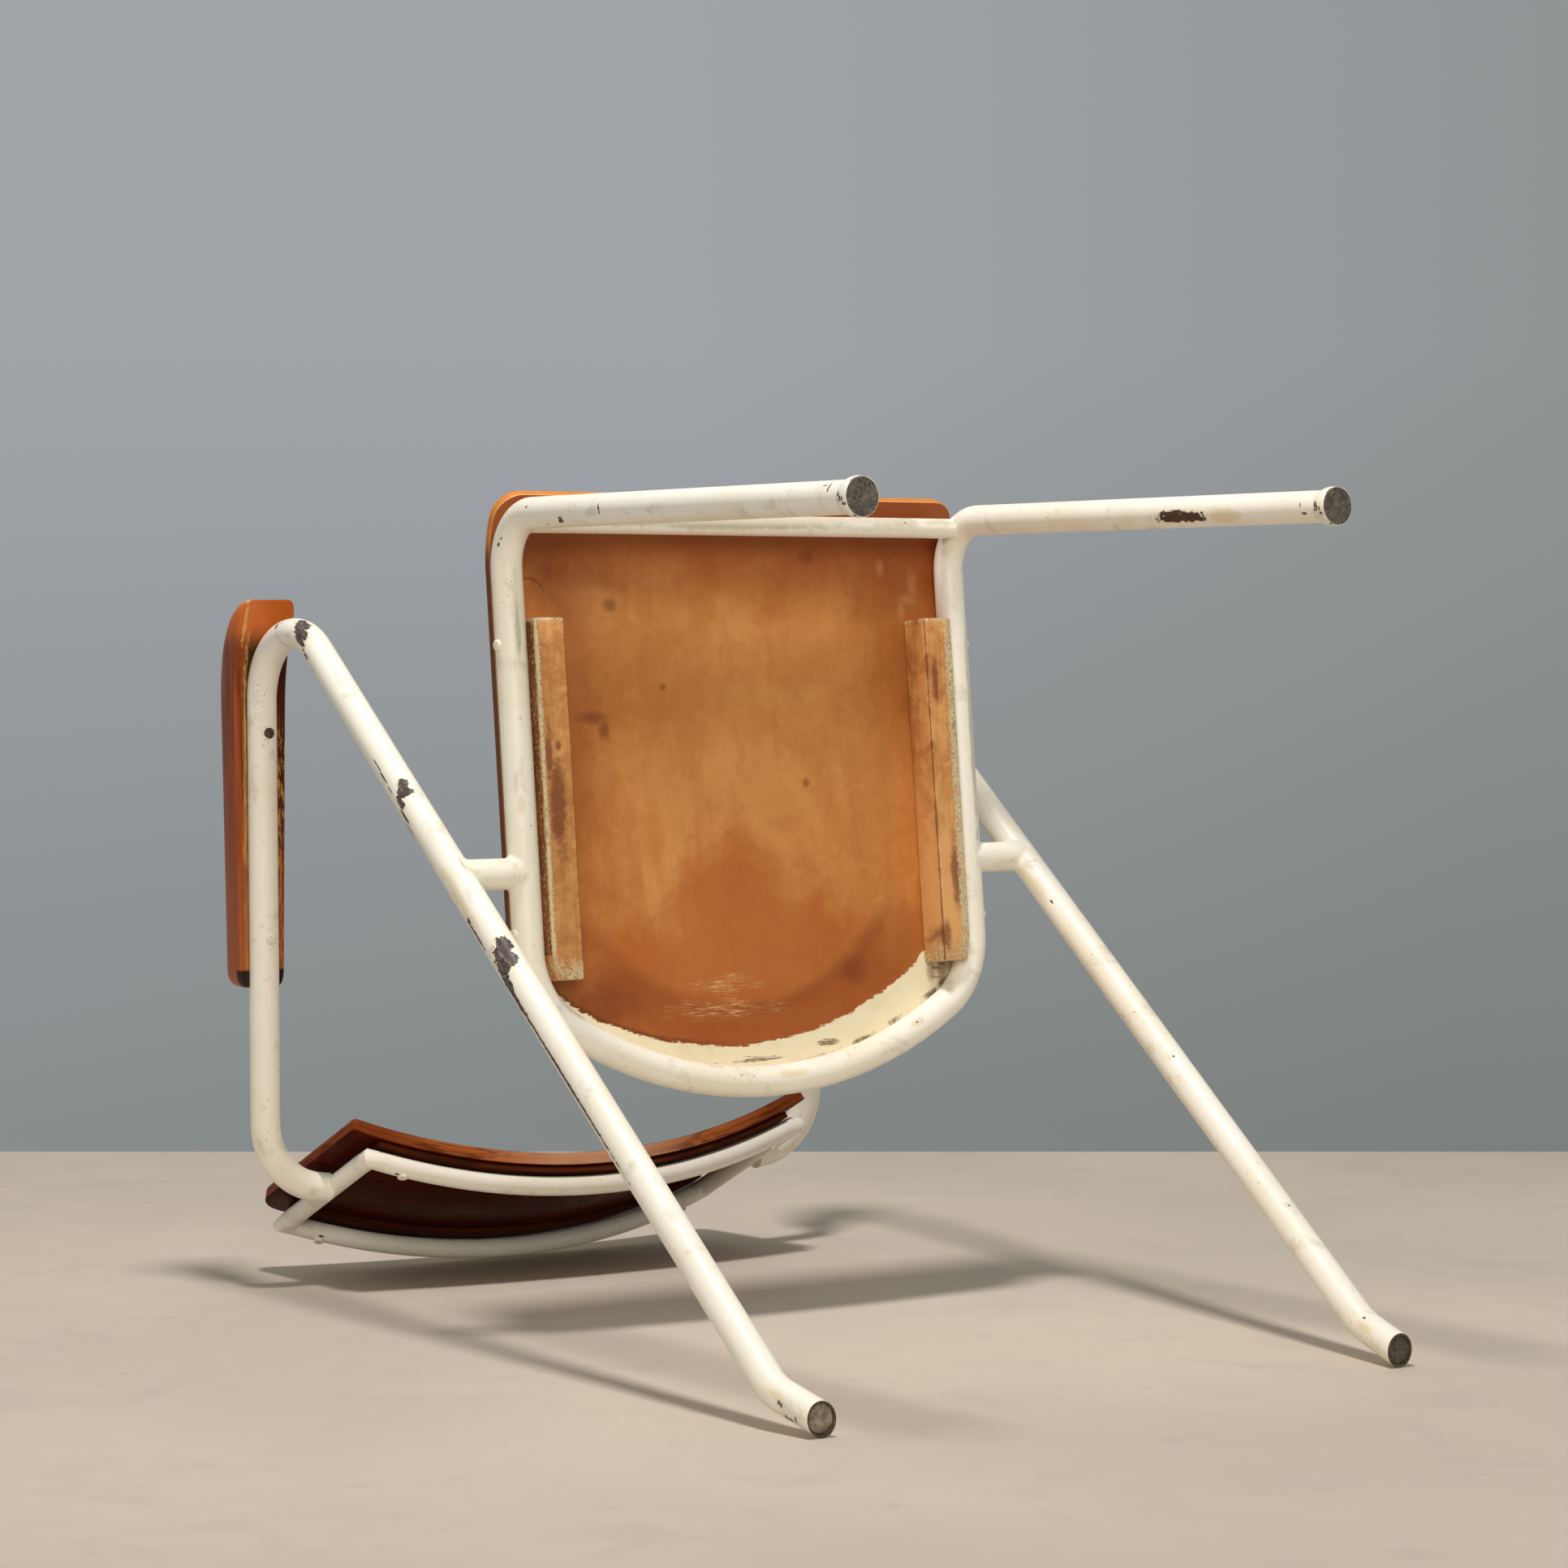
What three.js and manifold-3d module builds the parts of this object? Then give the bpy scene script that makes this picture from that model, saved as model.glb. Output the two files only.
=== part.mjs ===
// A tubular steel armchair with a bent plywood seat, a curved plywood back and wooden armrests.
// Millimetres, +Z up. The chair faces -Y, and left is -X, as seen by someone who stands in front of it.
// The frame is two bent tubes and a loop: one tube makes both front legs and the seat rails, and on
// each side another makes the rear leg and the arm. The loop at the end of the arms carries the back.

import * as THREE from "three";
import { mergeVertices } from "three/addons/utils/BufferGeometryUtils.js";
import Module from "manifold-3d";

const wasm = await Module();
wasm.setup();

// Fits and fineness shared by every piece
const jointGap = 0.3;
const overrun = 6;
const cutterSize = 140;
const facetSag = 0.4;
const sameSpot = 0.01;
const tubeSides = 18;
const boreSides = 12;
const turnedSides = 16;
const screwSides = 8;

// Steel tube
const mainTubeRadius = 11;
const mainTubeWall = 1.5;
const thinTubeRadius = 7.25;
const thinTubeWall = 1.25;

// Front legs and seat rails
const railHeight = 422;
const railHalfSpan = 193;
const railFallDegrees = 4.16;
const railSetback = 3.3;
const bowBehindStub = 55.7;
const bowCornerRadius = 60;
const bowCornerTurnDegrees = 58;
const legBendRadius = 35;
const frontFootSplay = 5;
const frontFootSetback = 13.2;
const crossRailDrop = 19;

// Rear legs and arms: each "out" is a distance outwards from the rails' centre lines
const rearFootOut = 48.6;
const rearFootSetback = 581.9;
const rearKneeOut = 54;
const rearKneeSetback = 567.7;
const rearKneeHeight = 42.8;
const rearKneeRadius = 45;
const armFrontOut = 53.5;
const armFrontSetback = 22.5;
const armFrontDrop = 12.6;
const armFrontRadius = 50;
const armRearBeyondLoop = 54.6;
const armRearRadius = 50;
const armReturnSlant = 8;
const armEndLap = 4;
const stubAheadOfCrossing = 1.26;
const stubFlare = 1.8;
const stubFlareLength = 5;
const stubLap = 5;

// Back loop
const loopSetback = 461.6;
const loopHeightAboveFloor = 625.4;
const loopLeanDegrees = 24.35;
const loopHalfSpan = 189.4;
const loopRise = 135;
const loopPlanRadius = 548;
const armMeetRise = 60.7;

// Plywood seat
const seatThickness = 9.3;
const seatEdgeLap = 6.5;
const seatFrontCornerRadius = 20;
const seatTopRound = 5;
const waterfallStart = 38;
const waterfallRadius = 79;
const waterfallDegrees = 40;
const seatBattenWidth = 24.5;
const seatBattenDepth = 25;
const seatBattenFront = 73;
const seatBattenPastStraight = 19.3;
const seatBattenGap = 0.5;
const seatBattenRound = 2;

// Plywood back
const backThickness = 10.5;
const backBeyondLoop = 14.2;
const backDropBelowLoop = 10;
const backRiseAboveLoop = 9;
const backTopCornerRadius = 15;
const backLowCornerRadius = 3;
const backEdgeRound = 2;
const backBattenThickness = 5;
const backBattenHeight = 20;
const backBattenInset = 2.4;
const lowerBattenDrop = 8;
const upperBattenDrop = 13;

// Armrests
const armrestFront = 31.5;
const armrestLength = 282;
const armrestHeight = 27;
const armrestLift = 2;
const armrestFrontHalfWidth = 23;
const armrestRearHalfWidth = 18.5;
const armrestTopRound = 11;
const armrestLowRound = 2;
const armrestNoseDrop = 17;
const armrestNoseRound = 44;
const armrestNoseEdge = 7;
const armrestPlanRound = 14;
const armrestTailRound = 10;

// Front foot caps and rear foot plugs
const footCapWall = 1.95;
const footCapHeight = 12;
const footCapFloor = 3;
const footCapShoulder = 7;
const footCapLip = 0.8;
const footPlugLength = 14;

// Screws
const screwHeadRadius = 4.5;
const screwHeadRim = 0.8;
const screwHeadHeight = 2.4;
const screwShankRadius = 2;
const screwSlotWidth = 1.1;
const screwSlotDepth = 1.1;
const seatScrewInsets = { front: 18, rear: 33 };
const seatScrewBite = 16;
const armrestScrewInsets = { front: 96.7, rear: 35.4 };
const armrestScrewBite = 12;
const backScrewInset = 26.4;
const backScrewBite = 7;

// Finishes
const creamEnamel = new THREE.MeshStandardMaterial({ color: 0xe8dfc6, roughness: 0.35, metalness: 0 });
const seatPly = new THREE.MeshStandardMaterial({ color: 0xb0713a, roughness: 0.5, metalness: 0 });
const battenWood = new THREE.MeshStandardMaterial({ color: 0xb98450, roughness: 0.6, metalness: 0 });
const backPly = new THREE.MeshStandardMaterial({ color: 0x6b2a17, roughness: 0.25, metalness: 0 });
const armWood = new THREE.MeshStandardMaterial({ color: 0x8a3a1a, roughness: 0.3, metalness: 0 });
const footRubber = new THREE.MeshStandardMaterial({ color: 0x3b342e, roughness: 0.8, metalness: 0 });
const screwSteel = new THREE.MeshStandardMaterial({ color: 0x8f8a80, roughness: 0.45, metalness: 1 });

const radians = THREE.MathUtils.degToRad;
const sides = { left: -1, right: 1 };
const up = new THREE.Vector3(0, 0, 1);

function point(x, y, z) {
  return new THREE.Vector3(x, y, z);
}

function headingTo(from, to) {
  return to.clone().sub(from).normalize();
}

// The point a given distance from one point towards another
function along(from, to, distance) {
  return from.clone().addScaledVector(headingTo(from, to), distance);
}

// Solids and booleans
function solid(geometry) {
  const bare = new THREE.BufferGeometry();
  bare.setAttribute("position", geometry.getAttribute("position"));
  bare.setIndex(geometry.getIndex());
  const merged = mergeVertices(bare);
  const mesh = new wasm.Mesh({
    numProp: 3,
    vertProperties: new Float32Array(merged.getAttribute("position").array),
    triVerts: new Uint32Array(merged.getIndex().array),
  });
  return new wasm.Manifold(mesh);
}

function geometryOf(shape) {
  const mesh = shape.getMesh();
  const geometry = new THREE.BufferGeometry();
  geometry.setAttribute("position", new THREE.BufferAttribute(new Float32Array(mesh.vertProperties), 3));
  geometry.setIndex(new THREE.BufferAttribute(new Uint32Array(mesh.triVerts), 1));
  geometry.computeVertexNormals();
  return geometry;
}

function cut(base, tools) {
  let shape = solid(base);
  for (const tool of tools) {
    shape = shape.subtract(solid(tool));
  }
  return geometryOf(shape);
}

function join(first, second) {
  return geometryOf(solid(first).add(solid(second)));
}

function carried(geometry, matrix) {
  return geometry.clone().applyMatrix4(matrix);
}

// A block whose near face passes through a point, square to a direction: it cuts off what lies beyond
function beyond(place, direction) {
  const block = new THREE.BoxGeometry(cutterSize, cutterSize, cutterSize);
  block.translate(0, 0, cutterSize / 2);
  block.applyQuaternion(new THREE.Quaternion().setFromUnitVectors(up, direction));
  return block.translate(place.x, place.y, place.z);
}

// Centre lines of bent tubes: straight runs between corners, each corner rounded by its bend radius
function stepsInTurn(turn, radius) {
  return Math.ceil(turn / (2 * Math.acos(1 - facetSag / radius)));
}

function addStation(stations, place, heading) {
  const last = stations[stations.length - 1];
  if (last && last.place.distanceTo(place) < sameSpot) {
    return;
  }
  stations.push({ place, heading });
}

function mixed(first, firstPart, second, secondPart) {
  return first.clone().multiplyScalar(firstPart).addScaledVector(second, secondPart);
}

function addBend(stations, before, corner, after) {
  const arrive = headingTo(before.at, corner.at);
  const leave = headingTo(corner.at, after.at);
  const turn = arrive.angleTo(leave);
  const inward = leave.addScaledVector(arrive, -Math.cos(turn)).divideScalar(Math.sin(turn));
  const start = corner.at.clone().addScaledVector(arrive, -corner.bend * Math.tan(turn / 2));
  const centre = start.addScaledVector(inward, corner.bend);
  const steps = stepsInTurn(turn, corner.bend);
  for (let step = 0; step <= steps; step++) {
    const angle = (turn * step) / steps;
    const spoke = mixed(arrive, Math.sin(angle), inward, -Math.cos(angle));
    const heading = mixed(arrive, Math.cos(angle), inward, Math.sin(angle));
    addStation(stations, centre.clone().addScaledVector(spoke, corner.bend), heading);
  }
}

function bentLine(corners) {
  const last = corners.length - 1;
  const stations = [];
  addStation(stations, corners[0].at.clone(), headingTo(corners[0].at, corners[1].at));
  for (let i = 1; i < last; i++) {
    addBend(stations, corners[i - 1], corners[i], corners[i + 1]);
  }
  addStation(stations, corners[last].at.clone(), headingTo(corners[last - 1].at, corners[last].at));
  return stations;
}

// A curve that an extrusion follows exactly from station to station
class StationCurve extends THREE.Curve {
  constructor(stations) {
    super();
    this.stations = stations;
  }
  stationAt(u) {
    return this.stations[Math.round(u * (this.stations.length - 1))];
  }
  getPoint(u, target = new THREE.Vector3()) {
    return target.copy(this.stationAt(u).place);
  }
  getPointAt(u, target) {
    return this.getPoint(u, target);
  }
  getTangentAt(u, target = new THREE.Vector3()) {
    return target.copy(this.stationAt(u).heading);
  }
}

function roundLoop(radius, count) {
  const loop = [];
  for (let i = 0; i < count; i++) {
    const angle = (2 * Math.PI * i) / count;
    loop.push(new THREE.Vector2(radius * Math.cos(angle), radius * Math.sin(angle)));
  }
  return loop;
}

function swept(section, stations) {
  const extrudePath = new StationCurve(stations);
  return new THREE.ExtrudeGeometry(section, { steps: stations.length - 1, extrudePath });
}

function tube(stations, radius, wall) {
  const section = new THREE.Shape(roundLoop(radius, tubeSides));
  section.holes.push(new THREE.Path(roundLoop(radius - wall, boreSides)));
  return swept(section, stations);
}

// The room that a tube takes up in its neighbours
function tubeRoom(stations, radius) {
  return swept(new THREE.Shape(roundLoop(radius + jointGap, tubeSides)), stations);
}

function rod(from, to, radius, count) {
  const line = bentLine([{ at: from }, { at: to }]);
  return swept(new THREE.Shape(roundLoop(radius, count)), line);
}

// A turned piece: its profile is in radius and height, and its height runs along the given direction
function turned(profile, count, base, direction) {
  const points = profile.map(([radius, height]) => new THREE.Vector2(radius, height));
  const geometry = new THREE.LatheGeometry(points, count);
  return stoodUp(geometry, base, direction);
}

function stoodUp(geometry, base, direction) {
  const lathed = new THREE.Vector3(0, 1, 0);
  geometry.applyQuaternion(new THREE.Quaternion().setFromUnitVectors(lathed, direction));
  return geometry.translate(base.x, base.y, base.z);
}

// The seat's frame has its origin between the two front corners of the rails, with Y along the rails
const seatFrame = new THREE.Group();
seatFrame.position.set(0, railSetback, railHeight);
seatFrame.rotation.x = -radians(railFallDegrees);
seatFrame.updateMatrix();

function onSeat(x, y, z) {
  return point(x, y, z).applyMatrix4(seatFrame.matrix);
}

// The back's frame has its origin between the loop's lower corners, with Z up its lean and Y to the rear
const backFrame = new THREE.Group();
backFrame.position.set(0, loopSetback, loopHeightAboveFloor);
backFrame.rotation.x = -radians(loopLeanDegrees);
backFrame.updateMatrix();

function onBack(x, y, z) {
  return point(x, y, z).applyMatrix4(backFrame.matrix);
}

// The arms run nearly level from their front bend to the loop
const armMeetHeight = onBack(0, 0, armMeetRise).z;
const armFrontHeight = armMeetHeight - armFrontDrop;

// The stub between rail and rear leg is nearly level, because it sits where they cross in side view
const railSlope = Math.tan(radians(railFallDegrees));
const legSlope = (armFrontHeight - rearKneeHeight) / (rearKneeSetback - armFrontSetback);
const legOverRail = rearKneeHeight + legSlope * (rearKneeSetback - railSetback) - railHeight;
const crossing = legOverRail / (legSlope - railSlope) / Math.cos(radians(railFallDegrees));
const stubSetback = crossing - stubAheadOfCrossing;
const railStraight = stubSetback + bowBehindStub;

// The bow at the rear of the seat: two corner bends that run straight on into one wide bend
const bowTurn = radians(bowCornerTurnDegrees);
const bowRadius = bowCornerRadius + (railHalfSpan - bowCornerRadius) / Math.cos(bowTurn);
const bowCentre = railStraight - (bowRadius - bowCornerRadius) * Math.sin(bowTurn);

// Front legs, seat rails and bow, one tube
function frontLeg(side) {
  const foot = point(side * (railHalfSpan + frontFootSplay), frontFootSetback, 0);
  const knee = point(side * railHalfSpan, railSetback, railHeight);
  return { foot, knee, axis: headingTo(foot, knee) };
}

const bowCorner = railStraight + bowCornerRadius * Math.tan(bowTurn / 2);
const bowTip = bowCorner + railHalfSpan / Math.tan(bowTurn);

function seatTubeHalf(side) {
  const { foot, knee } = frontLeg(side);
  return [
    { at: along(foot, knee, footCapFloor + jointGap) },
    { at: knee, bend: legBendRadius },
    { at: onSeat(side * railHalfSpan, bowCorner, 0), bend: bowCornerRadius },
  ];
}

function seatTubeLine() {
  const middle = { at: onSeat(0, bowTip, 0), bend: bowRadius };
  return bentLine([...seatTubeHalf(sides.left), middle, ...seatTubeHalf(sides.right).reverse()]);
}

const seatTubeStations = seatTubeLine();
const seatTubeRoom = tubeRoom(seatTubeStations, mainTubeRadius);

// Where a front leg's centre line passes a height, on its way up from the foot
function legPlaceAt(side, height) {
  const fromFoot = side < 0 ? seatTubeStations : seatTubeStations.slice().reverse();
  const next = fromFoot.findIndex(({ place }) => place.z > height);
  const below = fromFoot[next - 1].place;
  const above = fromFoot[next].place;
  return below.clone().lerp(above, (height - below.z) / (above.z - below.z));
}

// Thin tube across the front, its ends shaped to the legs
function frontCrossRail() {
  const left = legPlaceAt(sides.left, railHeight - crossRailDrop);
  const right = legPlaceAt(sides.right, railHeight - crossRailDrop);
  const line = bentLine([{ at: left }, { at: right }]);
  return cut(tube(line, thinTubeRadius, thinTubeWall), [seatTubeRoom]);
}

// Rear leg and arm, one tube on each side
function armCorners(side) {
  const foot = point(side * (railHalfSpan + rearFootOut), rearFootSetback, 0);
  const knee = point(side * (railHalfSpan + rearKneeOut), rearKneeSetback, rearKneeHeight);
  const front = point(side * (railHalfSpan + armFrontOut), armFrontSetback, armFrontHeight);
  const meet = onBack(side * loopHalfSpan, 0, armMeetRise);
  const rear = point(side * (loopHalfSpan + armRearBeyondLoop), meet.y - armReturnSlant, meet.z);
  return { foot, knee, front, rear, meet };
}

function armLine(side) {
  const { foot, knee, front, rear, meet } = armCorners(side);
  return bentLine([
    { at: along(foot, knee, -overrun) },
    { at: knee, bend: rearKneeRadius },
    { at: front, bend: armFrontRadius },
    { at: rear, bend: armRearRadius },
    { at: along(meet, rear, thinTubeRadius - armEndLap) },
  ]);
}

function armFrame(side) {
  const { front, rear } = armCorners(side);
  const run = headingTo(front, rear);
  const across = new THREE.Vector3().crossVectors(run, up).normalize();
  const rise = new THREE.Vector3().crossVectors(across, run);
  const frame = new THREE.Group();
  frame.applyMatrix4(new THREE.Matrix4().makeBasis(across, run, rise).setPosition(front));
  return frame;
}

function endBarLine(side) {
  const low = point(side * loopHalfSpan, 0, -overrun);
  const high = point(side * loopHalfSpan, 0, loopRise + overrun);
  return bentLine([{ at: low }, { at: high }]);
}

function armLegTube(side, drills) {
  const { foot } = armCorners(side);
  const endBar = carried(tubeRoom(endBarLine(side), thinTubeRadius), backFrame.matrix);
  const floor = beyond(foot, point(0, 0, -1));
  return cut(tube(armLine(side), mainTubeRadius, mainTubeWall), [endBar, floor, ...drills]);
}

// Short stub that ties each rail to its rear leg, flared at both ends where it is brazed
function stubEnds(side) {
  const { knee, front } = armCorners(side);
  const atRail = onSeat(side * railHalfSpan, stubSetback, 0);
  const share = (knee.y - atRail.y) / (knee.y - front.y);
  return { atRail, atLeg: knee.clone().lerp(front, share) };
}

// The room over the rails that the seat panel's edge takes up beside a stub
function seatPanelRoom(side) {
  const edge = railHalfSpan + seatEdgeLap + jointGap;
  const place = onSeat(side * (edge - cutterSize / 2), stubSetback, mainTubeRadius);
  return beyond(place, up.clone().applyEuler(seatFrame.rotation));
}

function stub(side) {
  const { atRail, atLeg } = stubEnds(side);
  const start = along(atRail, atLeg, stubLap);
  const length = atRail.distanceTo(atLeg) - 2 * stubLap;
  const bore = mainTubeRadius - mainTubeWall;
  const flared = mainTubeRadius + stubFlare;
  const flareEnd = mainTubeRadius - stubLap + stubFlareLength;
  const profile = [
    [bore, 0],
    [flared, 0],
    [mainTubeRadius, flareEnd],
    [mainTubeRadius, length - flareEnd],
    [flared, length],
    [bore, length],
    [bore, 0],
  ];
  const body = turned(profile, turnedSides, start, headingTo(atRail, atLeg));
  return cut(body, [seatTubeRoom, tubeRoom(armLine(side), mainTubeRadius), seatPanelRoom(side)]);
}

// Back loop: two rails bent to one plan radius and two straight end bars, mitred at the corners
const loopSag = Math.sqrt(loopPlanRadius ** 2 - loopHalfSpan ** 2);

// A place on the loop's cylinder: its angle from the middle, its radius and its height up the lean
function roundBack(angle, radius, height) {
  return point(radius * Math.sin(angle), radius * Math.cos(angle) - loopSag, height);
}

function loopRailLine(height) {
  const half = Math.asin(loopHalfSpan / loopPlanRadius);
  const steps = stepsInTurn(2 * half, loopPlanRadius);
  const stations = [];
  for (let step = 0; step <= steps; step++) {
    const angle = half * ((2 * step) / steps - 1);
    const heading = point(Math.cos(angle), -Math.sin(angle), 0);
    addStation(stations, roundBack(angle, loopPlanRadius, height), heading);
  }
  const first = stations[0];
  const last = stations[steps];
  const before = first.place.clone().addScaledVector(first.heading, -overrun * 2);
  const after = last.place.clone().addScaledVector(last.heading, overrun * 2);
  stations.unshift({ place: before, heading: first.heading });
  stations.push({ place: after, heading: last.heading });
  return stations;
}

// The mitre at a corner of the loop, seen from the rail, or from the end bar when it is turned round
function mitre(side, height, fromRail) {
  const half = Math.asin(loopHalfSpan / loopPlanRadius);
  const railOut = point(side * Math.cos(half), -Math.sin(half), 0);
  const barOut = point(0, 0, height > 0 ? 1 : -1);
  const direction = railOut.sub(barOut).normalize().multiplyScalar(fromRail ? 1 : -1);
  const corner = point(side * loopHalfSpan, 0, height);
  return beyond(corner.addScaledVector(direction, -jointGap / 2), direction);
}

function backRail(height, drills) {
  const body = tube(loopRailLine(height), thinTubeRadius, thinTubeWall);
  return cut(body, [mitre(sides.left, height, true), mitre(sides.right, height, true), ...drills]);
}

function backEndBar(side) {
  const body = tube(endBarLine(side), thinTubeRadius, thinTubeWall);
  return cut(body, [mitre(side, 0, false), mitre(side, loopRise, false)]);
}

// Sheets of bent wood: a flat outline in layers, each drawn in a little at a rounded edge, then bent
function drawnIn(loop, inset) {
  return loop.map((at, i) => {
    const before = loop[(i + loop.length - 1) % loop.length];
    const after = loop[(i + 1) % loop.length];
    const arrive = at.clone().sub(before).normalize();
    const leave = after.clone().sub(at).normalize();
    const inward = new THREE.Vector2(-arrive.y - leave.y, arrive.x + leave.x).normalize();
    const spread = inward.dot(new THREE.Vector2(-arrive.y, arrive.x));
    return at.clone().addScaledVector(inward, inset / spread);
  });
}

function quad(indices, a, b, c, d) {
  indices.push(a, b, c, a, c, d);
}

// The outline is two edges with their points in pairs, so that both faces are strips across the bend
function bentSheet(lowEdge, highEdge, layers, bend) {
  const loop = [...lowEdge, ...highEdge.slice().reverse()];
  const count = loop.length;
  const positions = [];
  const indices = [];
  for (const { height, inset } of layers) {
    for (const at of drawnIn(loop, inset)) {
      positions.push(...bend(at.x, at.y, height).toArray());
    }
  }
  for (let layer = 0; layer < layers.length - 1; layer++) {
    for (let i = 0; i < count; i++) {
      const next = (i + 1) % count;
      const base = layer * count;
      quad(indices, base + i, base + next, base + count + next, base + count + i);
    }
  }
  const top = (layers.length - 1) * count;
  for (let i = 0; i < lowEdge.length - 1; i++) {
    const facing = count - 1 - i;
    quad(indices, i, facing, facing - 1, i + 1);
    quad(indices, top + i, top + i + 1, top + facing - 1, top + facing);
  }
  const geometry = new THREE.BufferGeometry();
  geometry.setAttribute("position", new THREE.Float32BufferAttribute(positions, 3));
  geometry.setIndex(indices);
  geometry.computeVertexNormals();
  return geometry;
}

// Layers of a sheet with square lower edges and a quarter round along its upper ones
function roundedLayers(thickness, round) {
  const steps = 3;
  const layers = [{ height: 0, inset: 0 }];
  for (let step = 0; step <= steps; step++) {
    const angle = (Math.PI / 2) * (step / steps);
    const height = thickness - round + round * Math.sin(angle);
    layers.push({ height, inset: round * (1 - Math.cos(angle)) });
  }
  return layers;
}

// Seat panel: it laps the rails by one width all round and rolls down over the front
function seatEdge() {
  const halfWidth = railHalfSpan + seatEdgeLap;
  const front = waterfallStart - waterfallRadius * radians(waterfallDegrees);
  const edge = [];
  const cornerSteps = 4;
  for (let step = 0; step < cornerSteps; step++) {
    const angle = (Math.PI / 2) * (step / cornerSteps);
    const inset = seatFrontCornerRadius * (1 - Math.sin(angle));
    edge.push([front + seatFrontCornerRadius * (1 - Math.cos(angle)), halfWidth - inset]);
  }
  const straightFrom = front + seatFrontCornerRadius;
  const rollSteps = stepsInTurn((waterfallStart - straightFrom) / waterfallRadius, waterfallRadius);
  for (let step = 0; step <= rollSteps; step++) {
    edge.push([straightFrom + ((waterfallStart - straightFrom) * step) / rollSteps, halfWidth]);
  }
  const cornerRadius = bowCornerRadius + seatEdgeLap;
  const bendSteps = stepsInTurn(bowTurn, cornerRadius);
  for (let step = 0; step < bendSteps; step++) {
    const angle = (bowTurn * step) / bendSteps;
    const x = railHalfSpan - bowCornerRadius + cornerRadius * Math.cos(angle);
    edge.push([railStraight + cornerRadius * Math.sin(angle), x]);
  }
  // The last step is half a step short of the middle, where the two edges would touch
  const wideRadius = bowRadius + seatEdgeLap;
  const wideTurn = Math.PI / 2 - bowTurn;
  const wideSteps = stepsInTurn(wideTurn, wideRadius) + 1 / 2;
  for (let step = 0; step < wideSteps; step++) {
    const angle = bowTurn + (wideTurn * step) / wideSteps;
    edge.push([bowCentre + wideRadius * Math.sin(angle), wideRadius * Math.cos(angle)]);
  }
  return edge;
}

// Flat behind the waterfall, and wound about the waterfall's axis in front of it
function bendSeat(y, across, height) {
  const under = mainTubeRadius + jointGap;
  if (y >= waterfallStart) {
    return point(-across, y, under + height);
  }
  const angle = (waterfallStart - y) / waterfallRadius;
  const radius = waterfallRadius + height;
  const axisHeight = under - waterfallRadius;
  const forward = radius * Math.sin(angle);
  return point(-across, waterfallStart - forward, axisHeight + radius * Math.cos(angle));
}

function seatPanel() {
  const edge = seatEdge();
  const lowEdge = edge.map(([y, x]) => new THREE.Vector2(y, -x));
  const highEdge = edge.map(([y, x]) => new THREE.Vector2(y, x));
  return bentSheet(lowEdge, highEdge, roundedLayers(seatThickness, seatTopRound), bendSeat);
}

// Wooden battens that stand under the seat along the rails and take its screws
const seatBattenEnd = railStraight + seatBattenPastStraight;

function seatBatten(side, drills) {
  const top = mainTubeRadius;
  const outer = railHalfSpan - mainTubeRadius - seatBattenGap;
  const section = new THREE.Shape();
  const left = side > 0 ? outer - seatBattenWidth : -outer;
  const right = left + seatBattenWidth;
  const low = top - seatBattenDepth;
  section.moveTo(left, top);
  section.lineTo(left, low + seatBattenRound);
  section.quadraticCurveTo(left, low, left + seatBattenRound, low);
  section.lineTo(right - seatBattenRound, low);
  section.quadraticCurveTo(right, low, right, low + seatBattenRound);
  section.lineTo(right, top);
  const batten = new THREE.ExtrudeGeometry(section, {
    depth: seatBattenEnd - seatBattenFront,
    curveSegments: 3,
    bevelEnabled: false,
  });
  batten.rotateX(Math.PI / 2);
  batten.translate(0, seatBattenEnd, 0);
  const rails = carried(seatTubeRoom, seatFrame.matrix.clone().invert());
  return cut(batten, [rails, ...drills]);
}

// Curved sheets at the back, each at its own radius on the loop's cylinder
function backEdges(halfLength, low, high, lowCorner, highCorner) {
  const steps = highCorner > 0 ? 4 : 0;
  const fromEnd = [];
  for (let step = 0; step < steps; step++) {
    fromEnd.push(highCorner * (1 - Math.cos((Math.PI / 2) * (step / steps))));
  }
  const flat = halfLength - highCorner;
  const flatSteps = stepsInTurn(flat / loopPlanRadius, loopPlanRadius);
  for (let step = 0; step <= flatSteps; step++) {
    fromEnd.push(highCorner + (flat * step) / flatSteps);
  }
  const half = fromEnd.map((d) => [d, cornerInset(d, lowCorner), cornerInset(d, highCorner)]);
  const lowHalf = half.map(([d, inset]) => new THREE.Vector2(d - halfLength, low + inset));
  const highHalf = half.map(([d, , inset]) => new THREE.Vector2(d - halfLength, high - inset));
  return { lowEdge: bothHalves(lowHalf), highEdge: bothHalves(highHalf) };
}

// How far a rounded corner draws an edge in, at a distance from the end
function cornerInset(distance, radius) {
  const short = Math.max(radius - distance, 0);
  return radius - Math.sqrt(radius ** 2 - short ** 2);
}

function bothHalves(half) {
  const mirrored = half.map((at) => new THREE.Vector2(-at.x, at.y)).reverse();
  return [...half, ...mirrored.slice(1)];
}

function backSheet(edges, rearRadius, layers) {
  const bend = (length, rise, height) => roundBack(length / rearRadius, rearRadius - height, rise);
  return bentSheet(edges.lowEdge, edges.highEdge, layers, bend);
}

const battenRearRadius = loopPlanRadius - thinTubeRadius - jointGap;
const panelRearRadius = battenRearRadius - backBattenThickness - jointGap;

function backBatten(low, drills) {
  const high = low + backBattenHeight;
  const edges = backEdges(loopHalfSpan - backBattenInset, low, high, 0, 0);
  const layers = [
    { height: 0, inset: 0 },
    { height: backBattenThickness, inset: 0 },
  ];
  return cut(backSheet(edges, battenRearRadius, layers), drills);
}

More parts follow.
